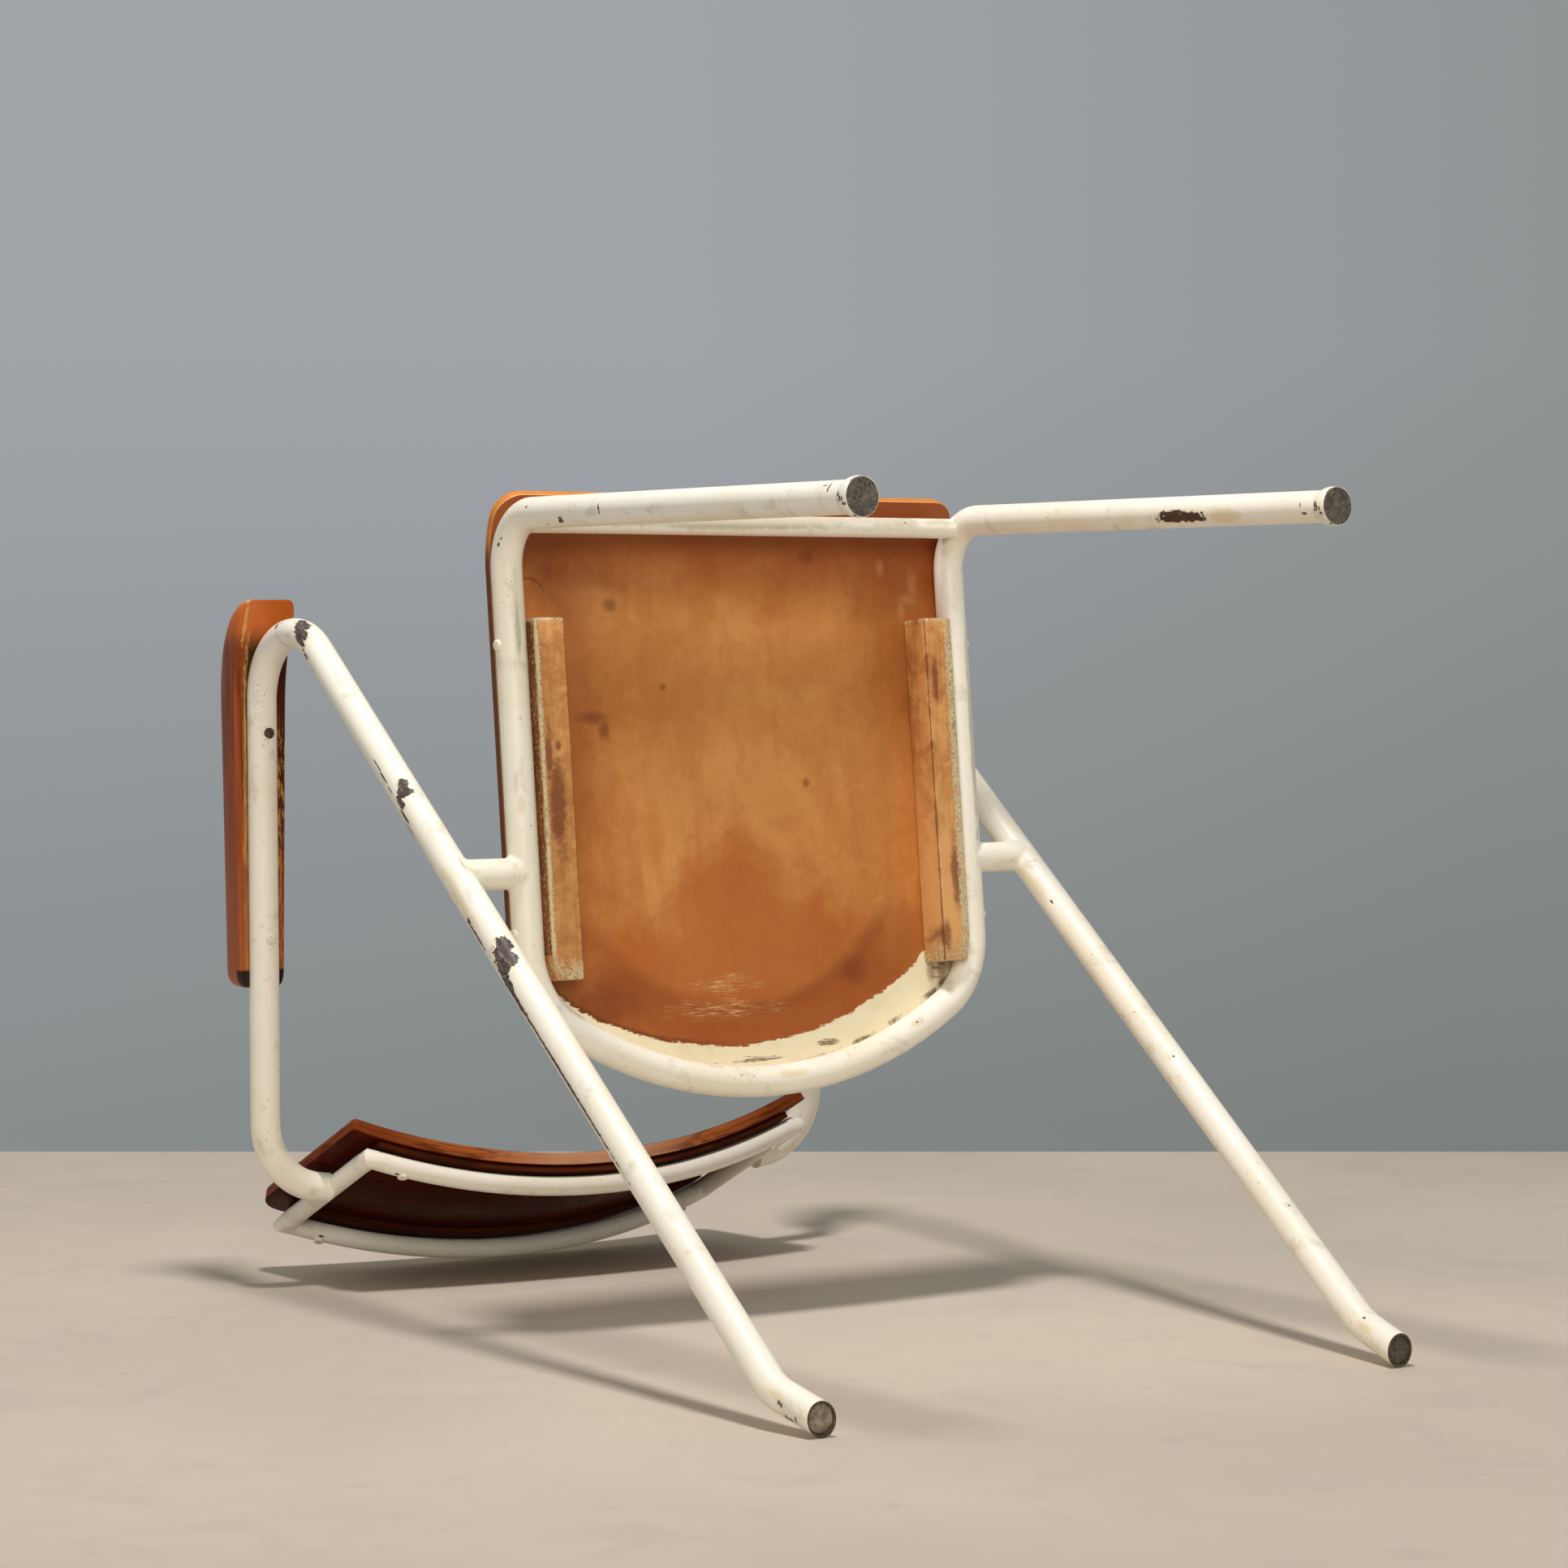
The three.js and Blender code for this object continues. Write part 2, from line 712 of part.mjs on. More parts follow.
function backPanel(drills) {
  const halfLength = panelRearRadius * Math.asin((loopHalfSpan + backBeyondLoop) / panelRearRadius);
  const low = -backDropBelowLoop;
  const high = loopRise + backRiseAboveLoop;
  const edges = backEdges(halfLength, low, high, backLowCornerRadius, backTopCornerRadius);
  return cut(backSheet(edges, panelRearRadius, roundedLayers(backThickness, backEdgeRound)), drills);
}

// Armrests: lofted from front to rear, their nose curled down over the arm's front bend
function loft(rings) {
  const count = rings[0].length;
  const positions = rings.flat().flatMap((at) => at.toArray());
  const indices = [];
  for (let ring = 0; ring < rings.length - 1; ring++) {
    for (let i = 0; i < count; i++) {
      const next = (i + 1) % count;
      const base = ring * count;
      quad(indices, base + i, base + next, base + count + next, base + count + i);
    }
  }
  const last = (rings.length - 1) * count;
  for (let i = 1; i < count - 1; i++) {
    indices.push(0, i + 1, i);
    indices.push(last, last + i, last + i + 1);
  }
  const geometry = new THREE.BufferGeometry();
  geometry.setAttribute("position", new THREE.Float32BufferAttribute(positions, 3));
  geometry.setIndex(indices);
  geometry.computeVertexNormals();
  return geometry;
}

// Half a section from the middle of its top to the middle of its underside, then the same mirrored
function armrestRing(y, halfWidth, low, high) {
  const topRound = Math.min(armrestTopRound, halfWidth, high - low - armrestLowRound);
  const steps = 4;
  const half = [];
  for (let step = 0; step <= steps; step++) {
    const angle = (Math.PI / 2) * (step / steps);
    const x = halfWidth - topRound * (1 - Math.sin(angle));
    half.push([x, high - topRound * (1 - Math.cos(angle))]);
  }
  half.push([halfWidth, low + armrestLowRound]);
  half.push([halfWidth - armrestLowRound, low]);
  const right = half.map(([x, z]) => point(x, y, z));
  const left = half.map(([x, z]) => point(-x, y, z)).reverse();
  return [...right, ...left];
}

// How much of its full size a rounded end keeps at a distance from its tip
function roundedEnd(distance, length) {
  const short = Math.max(1 - distance / length, 0);
  return Math.sqrt(1 - short ** 2);
}

function armrestSection(y, noseStart) {
  const fromFront = y - armrestFront;
  const fromRear = armrestFront + armrestLength - y;
  const curl = Math.max((noseStart - y) / (noseStart - armrestFront), 0) ** 2;
  const low = armrestLift - armrestNoseDrop * curl;
  const swell = roundedEnd(fromFront, armrestNoseRound);
  const noseHeight = armrestNoseEdge + (armrestHeight - armrestNoseEdge) * swell;
  const high = low + noseHeight - armrestTailRound * (1 - roundedEnd(fromRear, armrestTailRound));
  const taper = armrestFrontHalfWidth - armrestRearHalfWidth;
  const full = armrestRearHalfWidth + taper * (fromRear / armrestLength);
  const plan = armrestPlanRound * (1 - roundedEnd(fromFront, armrestPlanRound));
  const tail = armrestTailRound * (1 - roundedEnd(fromRear, armrestTailRound));
  return armrestRing(y, full - plan / 2 - tail / 2, low, high);
}

function armrestPlaces(noseStart) {
  const rear = armrestFront + armrestLength;
  const planShares = [0, 0.12, 0.4, 1];
  const noseShares = [0.25, 0.5, 0.75, 1];
  const tailShares = [1, 0.4, 0.12, 0];
  const noseFrom = armrestFront + armrestPlanRound;
  return [
    ...planShares.map((share) => armrestFront + armrestPlanRound * share),
    ...noseShares.map((share) => noseFrom + (noseStart - noseFrom) * share),
    ...tailShares.map((share) => rear - armrestTailRound * share),
  ];
}

function armrest(side, frame, drills) {
  const { knee, front, rear } = armCorners(side);
  const turn = Math.PI - knee.clone().sub(front).angleTo(rear.clone().sub(front));
  const noseStart = armFrontRadius * Math.tan(turn / 2);
  const rings = armrestPlaces(noseStart).map((y) => armrestSection(y, noseStart));
  const groove = carried(tubeRoom(armLine(side), mainTubeRadius), frame.matrix.clone().invert());
  return cut(loft(rings), [groove, ...drills]);
}

// Feet: a cap round each front leg and a plug in each rear one, all flat on the floor
function frontFootCap(side) {
  const { foot, axis } = frontLeg(side);
  const bore = mainTubeRadius + jointGap;
  const outside = bore + footCapWall;
  const profile = [
    [0, -overrun],
    [outside, -overrun],
    [outside, footCapShoulder],
    [bore + footCapLip, footCapHeight],
    [bore, footCapHeight],
    [bore, footCapFloor],
    [0, footCapFloor],
  ];
  return cut(turned(profile, turnedSides, foot, axis), [beyond(foot, point(0, 0, -1))]);
}

function rearFootPlug(side) {
  const { foot, knee } = armCorners(side);
  const radius = mainTubeRadius - mainTubeWall - 2 * jointGap;
  const plug = rod(along(foot, knee, -overrun), along(foot, knee, footPlugLength), radius, boreSides);
  return cut(plug, [beyond(foot, point(0, 0, -1))]);
}

// Slotted round-head screws: the head sits astride a tube and the shank runs through it into the wood
function screw({ crown, inward, length, tubeRadius, room }) {
  const outward = inward.clone().negate();
  const seat = tubeRadius + jointGap;
  const saddle = seat - Math.sqrt(seat ** 2 - screwHeadRadius ** 2) + jointGap;
  const dome = [0, 1, 2].map((step) => (Math.PI / 2) * (step / 3));
  const rise = screwHeadHeight - screwHeadRim;
  const profile = [
    [0, -saddle],
    [screwHeadRadius, -saddle],
    ...dome.map((angle) => [screwHeadRadius * Math.cos(angle), screwHeadRim + rise * Math.sin(angle)]),
    [0, screwHeadHeight],
  ];
  const head = cut(turned(profile, screwSides, crown, outward), [room]);
  const shankTop = crown.clone().addScaledVector(outward, screwHeadRim);
  const shankTip = crown.clone().addScaledVector(inward, length);
  const shank = rod(shankTop, shankTip, screwShankRadius, screwSides);
  const slot = new THREE.BoxGeometry(cutterSize, 2 * screwSlotDepth, screwSlotWidth);
  slot.translate(0, screwHeadHeight, 0);
  return cut(join(head, shank), [stoodUp(slot, crown, outward)]);
}

function drill({ crown, inward, length }) {
  const start = crown.clone().addScaledVector(inward, -overrun);
  const end = crown.clone().addScaledVector(inward, length + jointGap);
  return rod(start, end, screwShankRadius + jointGap, screwSides);
}

function seatScrew(side, setback) {
  return {
    crown: point(side * (railHalfSpan + mainTubeRadius), setback, 0),
    inward: point(-side, 0, 0),
    length: 2 * mainTubeRadius + seatScrewBite,
    tubeRadius: mainTubeRadius,
    room: carried(seatTubeRoom, seatFrame.matrix.clone().invert()),
  };
}

function armrestScrew(side, setback, frame) {
  return {
    crown: point(0, setback, -mainTubeRadius),
    inward: point(0, 0, 1),
    length: 2 * mainTubeRadius + armrestScrewBite,
    tubeRadius: mainTubeRadius,
    room: carried(tubeRoom(armLine(side), mainTubeRadius), frame.matrix.clone().invert()),
  };
}

function backScrew(side, height) {
  const angle = side * Math.asin((loopHalfSpan - backScrewInset) / loopPlanRadius);
  return {
    crown: roundBack(angle, loopPlanRadius + thinTubeRadius, height),
    inward: point(-Math.sin(angle), -Math.cos(angle), 0),
    length: 2 * thinTubeRadius + backBattenThickness + backScrewBite,
    tubeRadius: thinTubeRadius,
    room: tubeRoom(loopRailLine(height), thinTubeRadius),
  };
}

// The chair
const chair = new THREE.Group();

function addPiece(parent, name, geometry, material) {
  const mesh = new THREE.Mesh(geometry, material);
  mesh.name = name;
  parent.add(mesh);
}

function betweenEnds(start, end, insets) {
  return { front: start + insets.front, rear: end - insets.rear };
}

function addSeat() {
  chair.add(seatFrame);
  const screwSetbacks = betweenEnds(seatBattenFront, seatBattenEnd, seatScrewInsets);
  const allDrills = [];
  for (const [sideName, side] of Object.entries(sides)) {
    const drills = [];
    for (const [end, setback] of Object.entries(screwSetbacks)) {
      const spec = seatScrew(side, setback);
      addPiece(seatFrame, `seat_screw_${end}_${sideName}`, screw(spec), screwSteel);
      drills.push(drill(spec));
    }
    addPiece(seatFrame, `seat_batten_${sideName}`, seatBatten(side, drills), battenWood);
    allDrills.push(...drills.map((tool) => carried(tool, seatFrame.matrix)));
  }
  addPiece(seatFrame, "seat_panel", seatPanel(), seatPly);
  const body = tube(seatTubeStations, mainTubeRadius, mainTubeWall);
  addPiece(chair, "seat_leg_tube", cut(body, allDrills), creamEnamel);
  addPiece(chair, "front_cross_rail", frontCrossRail(), creamEnamel);
}

function addArm(sideName, side) {
  const frame = armFrame(side);
  chair.add(frame);
  const screwSetbacks = betweenEnds(armrestFront, armrestFront + armrestLength, armrestScrewInsets);
  const drills = [];
  for (const [end, setback] of Object.entries(screwSetbacks)) {
    const spec = armrestScrew(side, setback, frame);
    addPiece(frame, `armrest_screw_${end}_${sideName}`, screw(spec), screwSteel);
    drills.push(drill(spec));
  }
  addPiece(frame, `armrest_${sideName}`, armrest(side, frame, drills), armWood);
  const tubeDrills = drills.map((tool) => carried(tool, frame.matrix));
  addPiece(chair, `arm_leg_tube_${sideName}`, armLegTube(side, tubeDrills), creamEnamel);
  addPiece(chair, `stub_${sideName}`, stub(side), creamEnamel);
}

function addBack() {
  chair.add(backFrame);
  const heights = { lower: 0, upper: loopRise };
  const drops = { lower: lowerBattenDrop, upper: upperBattenDrop };
  const allDrills = [];
  for (const [level, height] of Object.entries(heights)) {
    const drills = [];
    for (const [sideName, side] of Object.entries(sides)) {
      const spec = backScrew(side, height);
      addPiece(backFrame, `back_screw_${level}_${sideName}`, screw(spec), screwSteel);
      drills.push(drill(spec));
    }
    addPiece(backFrame, `back_rail_${level}`, backRail(height, drills), creamEnamel);
    addPiece(backFrame, `back_batten_${level}`, backBatten(height - drops[level], drills), backPly);
    allDrills.push(...drills);
  }
  addPiece(backFrame, "back_panel", backPanel(allDrills), backPly);
  for (const [sideName, side] of Object.entries(sides)) {
    addPiece(backFrame, `back_end_bar_${sideName}`, backEndBar(side), creamEnamel);
  }
}

function addFeet(sideName, side) {
  addPiece(chair, `front_foot_cap_${sideName}`, frontFootCap(side), footRubber);
  addPiece(chair, `rear_foot_plug_${sideName}`, rearFootPlug(side), footRubber);
}

addSeat();
addBack();
for (const [sideName, side] of Object.entries(sides)) {
  addArm(sideName, side);
  addFeet(sideName, side);
}

// The origin is on the floor under the middle of the chair
const room = new THREE.Box3().setFromObject(chair, true);
const middle = room.getCenter(new THREE.Vector3());
chair.position.set(-middle.x, -middle.y, -room.min.z);

export default chair;
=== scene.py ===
# %% [markdown]
# # An old tubular armchair, on its back
# This lesson dresses one part in Blender: an armchair of bent steel tube in worn cream enamel, with a
# plywood seat, a curved plywood back and wooden armrests. The photograph shows it lying on its back.
#
# The exact solids come from a CAD model. We could paint those solids as they are, but they have few
# facets. So each one gets a smoother piece here, made from the same sizes, and a finish worked out by
# nodes. We start with the frame that holds every piece in place.

# %% Load the fixed frame
import math

import bpy
from mathutils import Matrix, Vector


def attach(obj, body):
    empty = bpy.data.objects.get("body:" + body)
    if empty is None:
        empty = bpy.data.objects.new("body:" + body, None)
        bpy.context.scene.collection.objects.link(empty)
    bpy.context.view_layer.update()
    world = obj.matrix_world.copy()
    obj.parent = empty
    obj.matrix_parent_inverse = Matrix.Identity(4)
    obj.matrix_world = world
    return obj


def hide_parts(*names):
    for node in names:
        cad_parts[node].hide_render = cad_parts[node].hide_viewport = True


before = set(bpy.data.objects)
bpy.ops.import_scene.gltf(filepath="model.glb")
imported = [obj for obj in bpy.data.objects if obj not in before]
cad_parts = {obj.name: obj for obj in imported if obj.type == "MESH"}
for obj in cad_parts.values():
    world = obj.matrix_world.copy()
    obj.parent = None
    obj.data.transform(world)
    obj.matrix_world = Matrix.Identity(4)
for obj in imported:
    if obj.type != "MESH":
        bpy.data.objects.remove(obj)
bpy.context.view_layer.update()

# %% [markdown]
# ## Where things are
# A maker measures a chair from the floor and from the front of its seat, in millimetres. Blender works in
# metres, and the frame has its origin under the middle of the chair. One function carries a point from the
# maker's measure into the frame, so that every later size can be read as it would be on the bench.
#
# The seat slopes down to the rear and the back leans. Each gets its own small frame, tilted once, so
# that their pieces can be drawn square.

# %% The maker's measure, the seat's slope and the back's lean
MM = 0.001
chair_middle = 287.92
rail_height, rail_half_span, rail_setback = 422, 193, 3.3
seat_slope, back_lean = math.radians(-4.16), math.radians(-24.35)
back_place = (0, 461.6, 625.4)

seat_frame = Matrix.Translation((0, rail_setback, rail_height)) @ Matrix.Rotation(seat_slope, 4, "X")
back_frame = Matrix.Translation(back_place) @ Matrix.Rotation(back_lean, 4, "X")


def in_frame(point):
    """A point in the maker's millimetres, as metres in the frame."""
    return MM * (Vector(point) - Vector((0, chair_middle, 0)))


front_corner = in_frame((rail_half_span, rail_setback, rail_height))
print("the seat's front corner is at", [round(v, 4) for v in front_corner])

# %% [markdown]
# ## The camera
# The photographer stood low, looking at the underside of the seat, with a long lens. The chair lies down,
# but our frame keeps it standing, so it is the camera that turns: its right, up and back directions were
# worked out from straight tubes and equal widths in the picture. A matrix made from these three
# directions says more plainly than three angles which way the camera looks.

# %% Set up the camera
camera_data = bpy.data.cameras.new("camera")
camera_data.lens = 110.08
camera_data.sensor_width = 36
camera_data.clip_end = 30
camera = bpy.data.objects.new("camera", camera_data)
bpy.context.scene.collection.objects.link(camera)
bpy.context.scene.camera = camera

to_right = Vector((0.8114, 0.0177, -0.5843)).normalized()
to_back = Vector((-0.5842, -0.0077, -0.8116))
to_back = (to_back - to_back.project(to_right)).normalized()
to_top = to_back.cross(to_right)
eye = Vector((-1.9771, -0.1202, -2.3828))
camera.matrix_world = Matrix.Translation(eye) @ Matrix((to_right, to_top, to_back)).transposed().to_4x4()
print("camera distance to the chair's middle:", round(eye.length, 2), "m")

# %% [markdown]
# ## Floor and wall
# The chair lies on a pale floor, and a grey-blue wall stands behind. A wall could be a second sheet, but
# a plain world colour does as well and never comes near the chair. The floor is one flat sheet that
# touches what the chair lies on: the rear feet and the top of the back. It ends where the picture shows
# the foot of the wall. We find its corners by sending rays from the eye through the picture.
#
# Seen from behind, the sheet would hide the chair. So its rear side is clear, and it casts no shadow.

# %% Lay the floor
picture, wall_foot, near_edge = 1932, 1419, 2400
focal = camera_data.lens / camera_data.sensor_width * picture
rear_foot_back = in_frame((0, 593.5, 0))
back_top_rear = in_frame((0, 555.3, 736))
along_floor = (back_top_rear - rear_foot_back).normalized()
floor_up = Vector((1, 0, 0)).cross(along_floor).normalized()
if floor_up.y > 0:
    floor_up = -floor_up


def on_floor(across, down):
    """Where the ray through a pixel of the picture meets the floor."""
    ray = to_right * (across - picture / 2) / focal + to_top * (picture / 2 - down) / focal - to_back
    return eye + ray * ((rear_foot_back - eye).dot(floor_up) / ray.dot(floor_up))


def new_object(name, points, faces):
    """A mesh object in the scene, from points in metres."""
    mesh = bpy.data.meshes.new(name)
    mesh.from_pydata([tuple(p) for p in points], [], faces)
    thing = bpy.data.objects.new(name, mesh)
    bpy.context.scene.collection.objects.link(thing)
    return thing


floor_corners = [(-2200, near_edge), (4000, near_edge), (3000, wall_foot), (-1100, wall_foot)]
floor = new_object("floor", [on_floor(*corner) for corner in floor_corners], [(0, 1, 2, 3)])
floor.visible_shadow = False
print("floor faces", [round(v, 3) for v in floor_up])

# %% [markdown]
# ## A workbench for finishes
# Every finish here is worked out by nodes: no pictures are loaded. Wiring nodes one call at a time makes
# long cells, so two small classes hold a node tree and give each common step a plain name. The first does
# arithmetic, and the second adds what draws: a soft step between two values, cloudy noise and a mix of
# two colours. The wall's colour uses them too.
#
# Colours are picked on a screen, but a shader wants the amount of light. The function paint()
# turns the one into the other.

# %% Screen colours as light
def paint(red, green, blue):
    """Screen values from 0 to 255 as the light values that a shader needs."""
    def light(value):
        value /= 255
        return value / 12.92 if value <= 0.04045 else ((value + 0.055) / 1.055) ** 2.4
    return (light(red), light(green), light(blue), 1)


print("cream on the screen is", [round(v, 3) for v in paint(240, 231, 208)], "to the shader")

# %% A class that wires nodes
class Nodes:
    """A node tree under construction, and arithmetic in it."""

    def __init__(self, tree):
        self.tree = tree

    def node(self, kind, **inputs):
        made = self.tree.nodes.new(kind)
        for name, value in inputs.items():
            self.plug(value, made.inputs[name])
        return made

    def plug(self, value, socket):
        if isinstance(value, bpy.types.NodeSocket):
            self.tree.links.new(value, socket)
        else:
            socket.default_value = value

    def reckon(self, how, *values, kind="ShaderNodeMath", out=0):
        """Arithmetic: ADD, MULTIPLY, MAXIMUM and so on."""
        made = self.node(kind)
        made.operation = how
        for value, socket in zip(values, made.inputs):
            self.plug(value, socket)
        return made.outputs[out]

    def times(self, first, second):
        return self.reckon("MULTIPLY", first, second)

    def plus(self, first, second):
        return self.reckon("ADD", first, second)

    def gap(self, value, centre):
        """How far a value is from another, to either side."""
        return self.reckon("ABSOLUTE", self.reckon("SUBTRACT", value, centre))

    def torn(self, value, noise, amount):
        """A value pushed up and down by noise, so that an edge drawn by it is torn."""
        return self.plus(value, self.times(self.reckon("SUBTRACT", noise, 0.5), amount))

    def vector(self, how, *values, out="Vector"):
        """Arithmetic on places and directions."""
        return self.reckon(how, *values, kind="ShaderNodeVectorMath", out=out)

    def scaled(self, vector, x, y, z):
        return self.vector("MULTIPLY", vector, (x, y, z))


print("the class knows", [name for name in vars(Nodes) if not name.startswith("_")])

# %% Soft steps, clouds and mixes
class Palette(Nodes):
    """What draws colour in a node tree."""

    def step(self, value, low, high, start=0.0, end=1.0):
        """A soft step: start below low, end above high."""
        made = self.node("ShaderNodeMapRange", Value=value)
        made.interpolation_type = "SMOOTHSTEP"
        for name, number in (("From Min", low), ("From Max", high), ("To Min", start), ("To Max", end)):
            self.plug(number, made.inputs[name])
        return made.outputs["Result"]

    def cloud(self, vector, scale, detail=3, roughness=0.5, warp=0.0):
        """Cloudy noise about 0.5. Scale is in clouds per metre."""
        made = self.node("ShaderNodeTexNoise", Vector=vector, Scale=scale, Detail=detail,
                         Roughness=roughness, Distortion=warp)
        return made.outputs["Fac"]

    def mix(self, amount, first, second):
        made = self.node("ShaderNodeMix")
        made.data_type = "RGBA"
        for value, name in ((amount, "Factor"), (first, "A"), (second, "B")):
            self.plug(value, made.inputs[name])
        return made.outputs["Result"]

    def tint(self, colour, shade, value, low, high, start=0.0, end=1.0):
        """Mix a shade into a colour by a soft step of a value."""
        return self.mix(self.step(value, low, high, start, end), colour, shade)


print("the palette adds", [name for name in vars(Palette) if not name.startswith("_")])

# %% [markdown]
# ## One finish
# A finish is such a tree with a principled shader at its end. Wear has to lie where the real piece wears,
# and a tube or a sheet is easiest to measure before it is bent. So a finish can ask where a place was on
# the unbent piece, and how far that is from an oval spot. Image textures would need every piece unwrapped.

# %% A class that builds one finish
class Finish(Palette):
    """One material under construction."""

    def __init__(self, name, gloss=0.5):
        self.material = bpy.data.materials.new(name)
        self.material.use_nodes = True
        super().__init__(self.material.node_tree)
        self.shader = self.tree.nodes["Principled BSDF"]
        self.shader.inputs["Specular IOR Level"].default_value = gloss
        self.space = self.node("ShaderNodeTexCoord").outputs["Object"]
        memory = self.node("ShaderNodeAttribute")
        memory.attribute_name = "unbent"
        self.unbent = memory.outputs["Vector"]

    def clear_coat(self, weight, roughness):
        self.shader.inputs["Coat Weight"].default_value = weight
        self.shader.inputs["Coat Roughness"].default_value = roughness

    def measure(self, axis):
        """One measure, in metres, of the place on the unbent piece."""
        return self.node("ShaderNodeSeparateXYZ", Vector=self.unbent).outputs[axis]

    def reach(self, centre, size):
        """How far a place is from a spot's centre, in its sizes, so that 1 is its rim. Both are in mm."""
        away = self.vector("SUBTRACT", self.unbent, [MM * v for v in centre])
        return self.vector("LENGTH", self.scaled(away, *[1 / (MM * v) for v in size]), out="Value")

    def nearest(self, spots):
        """The reach to the nearest of several (centre, size) spots."""
        found = self.reach(*spots[0])
        for spot in spots[1:]:
            found = self.reckon("MINIMUM", found, self.reach(*spot))
        return found

    def done(self, colour, roughness, height=None, depth=0.0):
        """Wire colour, roughness and a bump of a real depth in metres to the shader."""
        self.plug(colour, self.shader.inputs["Base Color"])
        self.plug(roughness, self.shader.inputs["Roughness"])
        if height is not None:
            bump = self.node("ShaderNodeBump", Height=height, Distance=depth, Strength=1.0)
            self.plug(bump.outputs[0], self.shader.inputs["Normal"])
        return self.material


test_finish = Finish("test_finish")
print("a bare finish starts with", len(test_finish.tree.nodes), "nodes")
bpy.data.materials.remove(test_finish.material)

# %% [markdown]
# ## The floor's finish
# The floor is smooth screed: warm grey, a little blotchy, with faint scuffs. A flat grey would look like
# paper, so three sizes of cloud vary its colour. The clear rear side is a mix with a transparent shader,
# driven by which side of the sheet a ray meets.

# %% Finish the floor
def floor_finish():
    screed = Finish("floor_screed", gloss=0.3)
    broad = screed.cloud(screed.space, 2.2, 3)
    patchy = screed.cloud(screed.space, 9, 4, 0.6, 0.6)
    fine = screed.cloud(screed.space, 34, 5, 0.65)
    tone = screed.tint(paint(217, 203, 183), paint(230, 215, 193), broad, 0.3, 0.7)
    tone = screed.tint(tone, paint(206, 193, 175), patchy, 0.5, 0.7, 0, 0.35)
    tone = screed.tint(tone, paint(191, 177, 158), fine, 0.62, 0.8, 0, 0.35)
    screed.done(tone, screed.step(fine, 0.2, 0.8, 0.55, 0.8), fine, 0.0004)
    clear = screed.node("ShaderNodeBsdfTransparent")
    rear_side = screed.node("ShaderNodeNewGeometry").outputs["Backfacing"]
    both = screed.node("ShaderNodeMixShader", Fac=rear_side)
    screed.plug(screed.shader.outputs[0], both.inputs[1])
    screed.plug(clear.outputs[0], both.inputs[2])
    screed.plug(both.outputs[0], screed.tree.nodes["Material Output"].inputs["Surface"])
    return screed.material


floor.data.materials.append(floor_finish())
if floor.data.polygons[0].normal.dot(floor_up) < 0:
    floor.data.flip_normals()
print("floor normal", [round(v, 3) for v in floor.data.polygons[0].normal])

# %% [markdown]
# ## Light
# The shadows on the floor tell where the lamp was: a small soft lamp hung about two metres over the lying
# chair, and the rest was filled by large pale surfaces near the camera. A fan of many lamps could copy
# each reflection, but three lights do: the lamp, one broad panel by the camera and the world itself. The
# world is bright enough that the chair is still well lit when somebody looks at it from behind.
#
# In the photograph the shadows on the floor are deep although the chair itself is evenly lit. One brighter
# lamp would burn out the enamel. Light linking does it instead: the panel lights all but the floor.

# %% Hang the lamps
def area_lamp(name, place, aim, size, watts, colour):
    data = bpy.data.lights.new(name, "AREA")
    data.shape, data.size, data.energy, data.color = "DISK", size, watts, colour
    lamp = bpy.data.objects.new(name, data)
    lamp.location = place
    lamp.rotation_euler = (Vector(aim) - Vector(place)).to_track_quat("-Z", "Y").to_euler()
    lamp.visible_camera = False
    bpy.context.scene.collection.objects.link(lamp)
    return lamp


area_lamp("lamp", in_frame((-315, -1900, 100)), in_frame((0, 300, 400)),
          size=0.34, watts=34.5, colour=(1, 0.975, 0.985))
panel = area_lamp("panel", eye + to_top * 1.3 + to_right * 0.4 + to_back * 0.2, (0, 0, 0.35),
                  size=1.6, watts=56, colour=(1, 0.96, 0.86))
unlit = bpy.data.collections.new("not_lit_by_the_panel")
unlit.objects.link(floor)
unlit.collection_objects[0].light_linking.link_state = "EXCLUDE"
panel.light_linking.receiver_collection = unlit

# %% [markdown]
# ## The wall's colour
# The wall is grey-blue, with painted light on it: a little lighter at the top left, darker and warmer at
# the bottom right. The world shader can vary by the direction in space that a ray goes, which stays put
# when the camera moves. What the camera sees and what lights the chair are two backgrounds: the second
# is neutral and brighter.

# %% Colour the world
def world_finish():
    world = bpy.data.worlds.new("wall")
    bpy.context.scene.world = world
    world.use_nodes = True
    world.node_tree.nodes.clear()
    wall = Palette(world.node_tree)
    direction = wall.node("ShaderNodeTexCoord").outputs["Generated"]

    def lean(towards, low, high):
        """From 0 to 1 as a ray turns towards a direction."""
        turned = wall.vector("DOT_PRODUCT", direction, towards, out="Value")
        step = wall.node("ShaderNodeMapRange", Value=turned)
        step.inputs["From Min"].default_value, step.inputs["From Max"].default_value = low, high
        return step.outputs["Result"]

    # Painted light on the wall: lighter at the top left, darker and warmer towards the bottom right.
    high = wall.mix(lean(to_right, -0.02, 0.17), paint(161, 164, 169), paint(143, 148, 149))
    low = wall.mix(lean(to_right, -0.16, 0.14), paint(136, 141, 142), paint(125, 129, 126))
    seen = wall.node("ShaderNodeBackground", Color=wall.mix(lean(to_top, -0.07, 0.09), low, high))
    lights = wall.node("ShaderNodeBackground", Color=(0.97, 0.99, 1.0, 1), Strength=0.31)
    both = wall.node("ShaderNodeMixShader", Fac=wall.node("ShaderNodeLightPath").outputs["Is Camera Ray"])
    wall.plug(lights.outputs[0], both.inputs[1])
    wall.plug(seen.outputs[0], both.inputs[2])
    wall.plug(both.outputs[0], wall.node("ShaderNodeOutputWorld").inputs["Surface"])


world_finish()
bpy.context.scene.view_settings.view_transform = "Standard"
print("world:", bpy.context.scene.world.name)

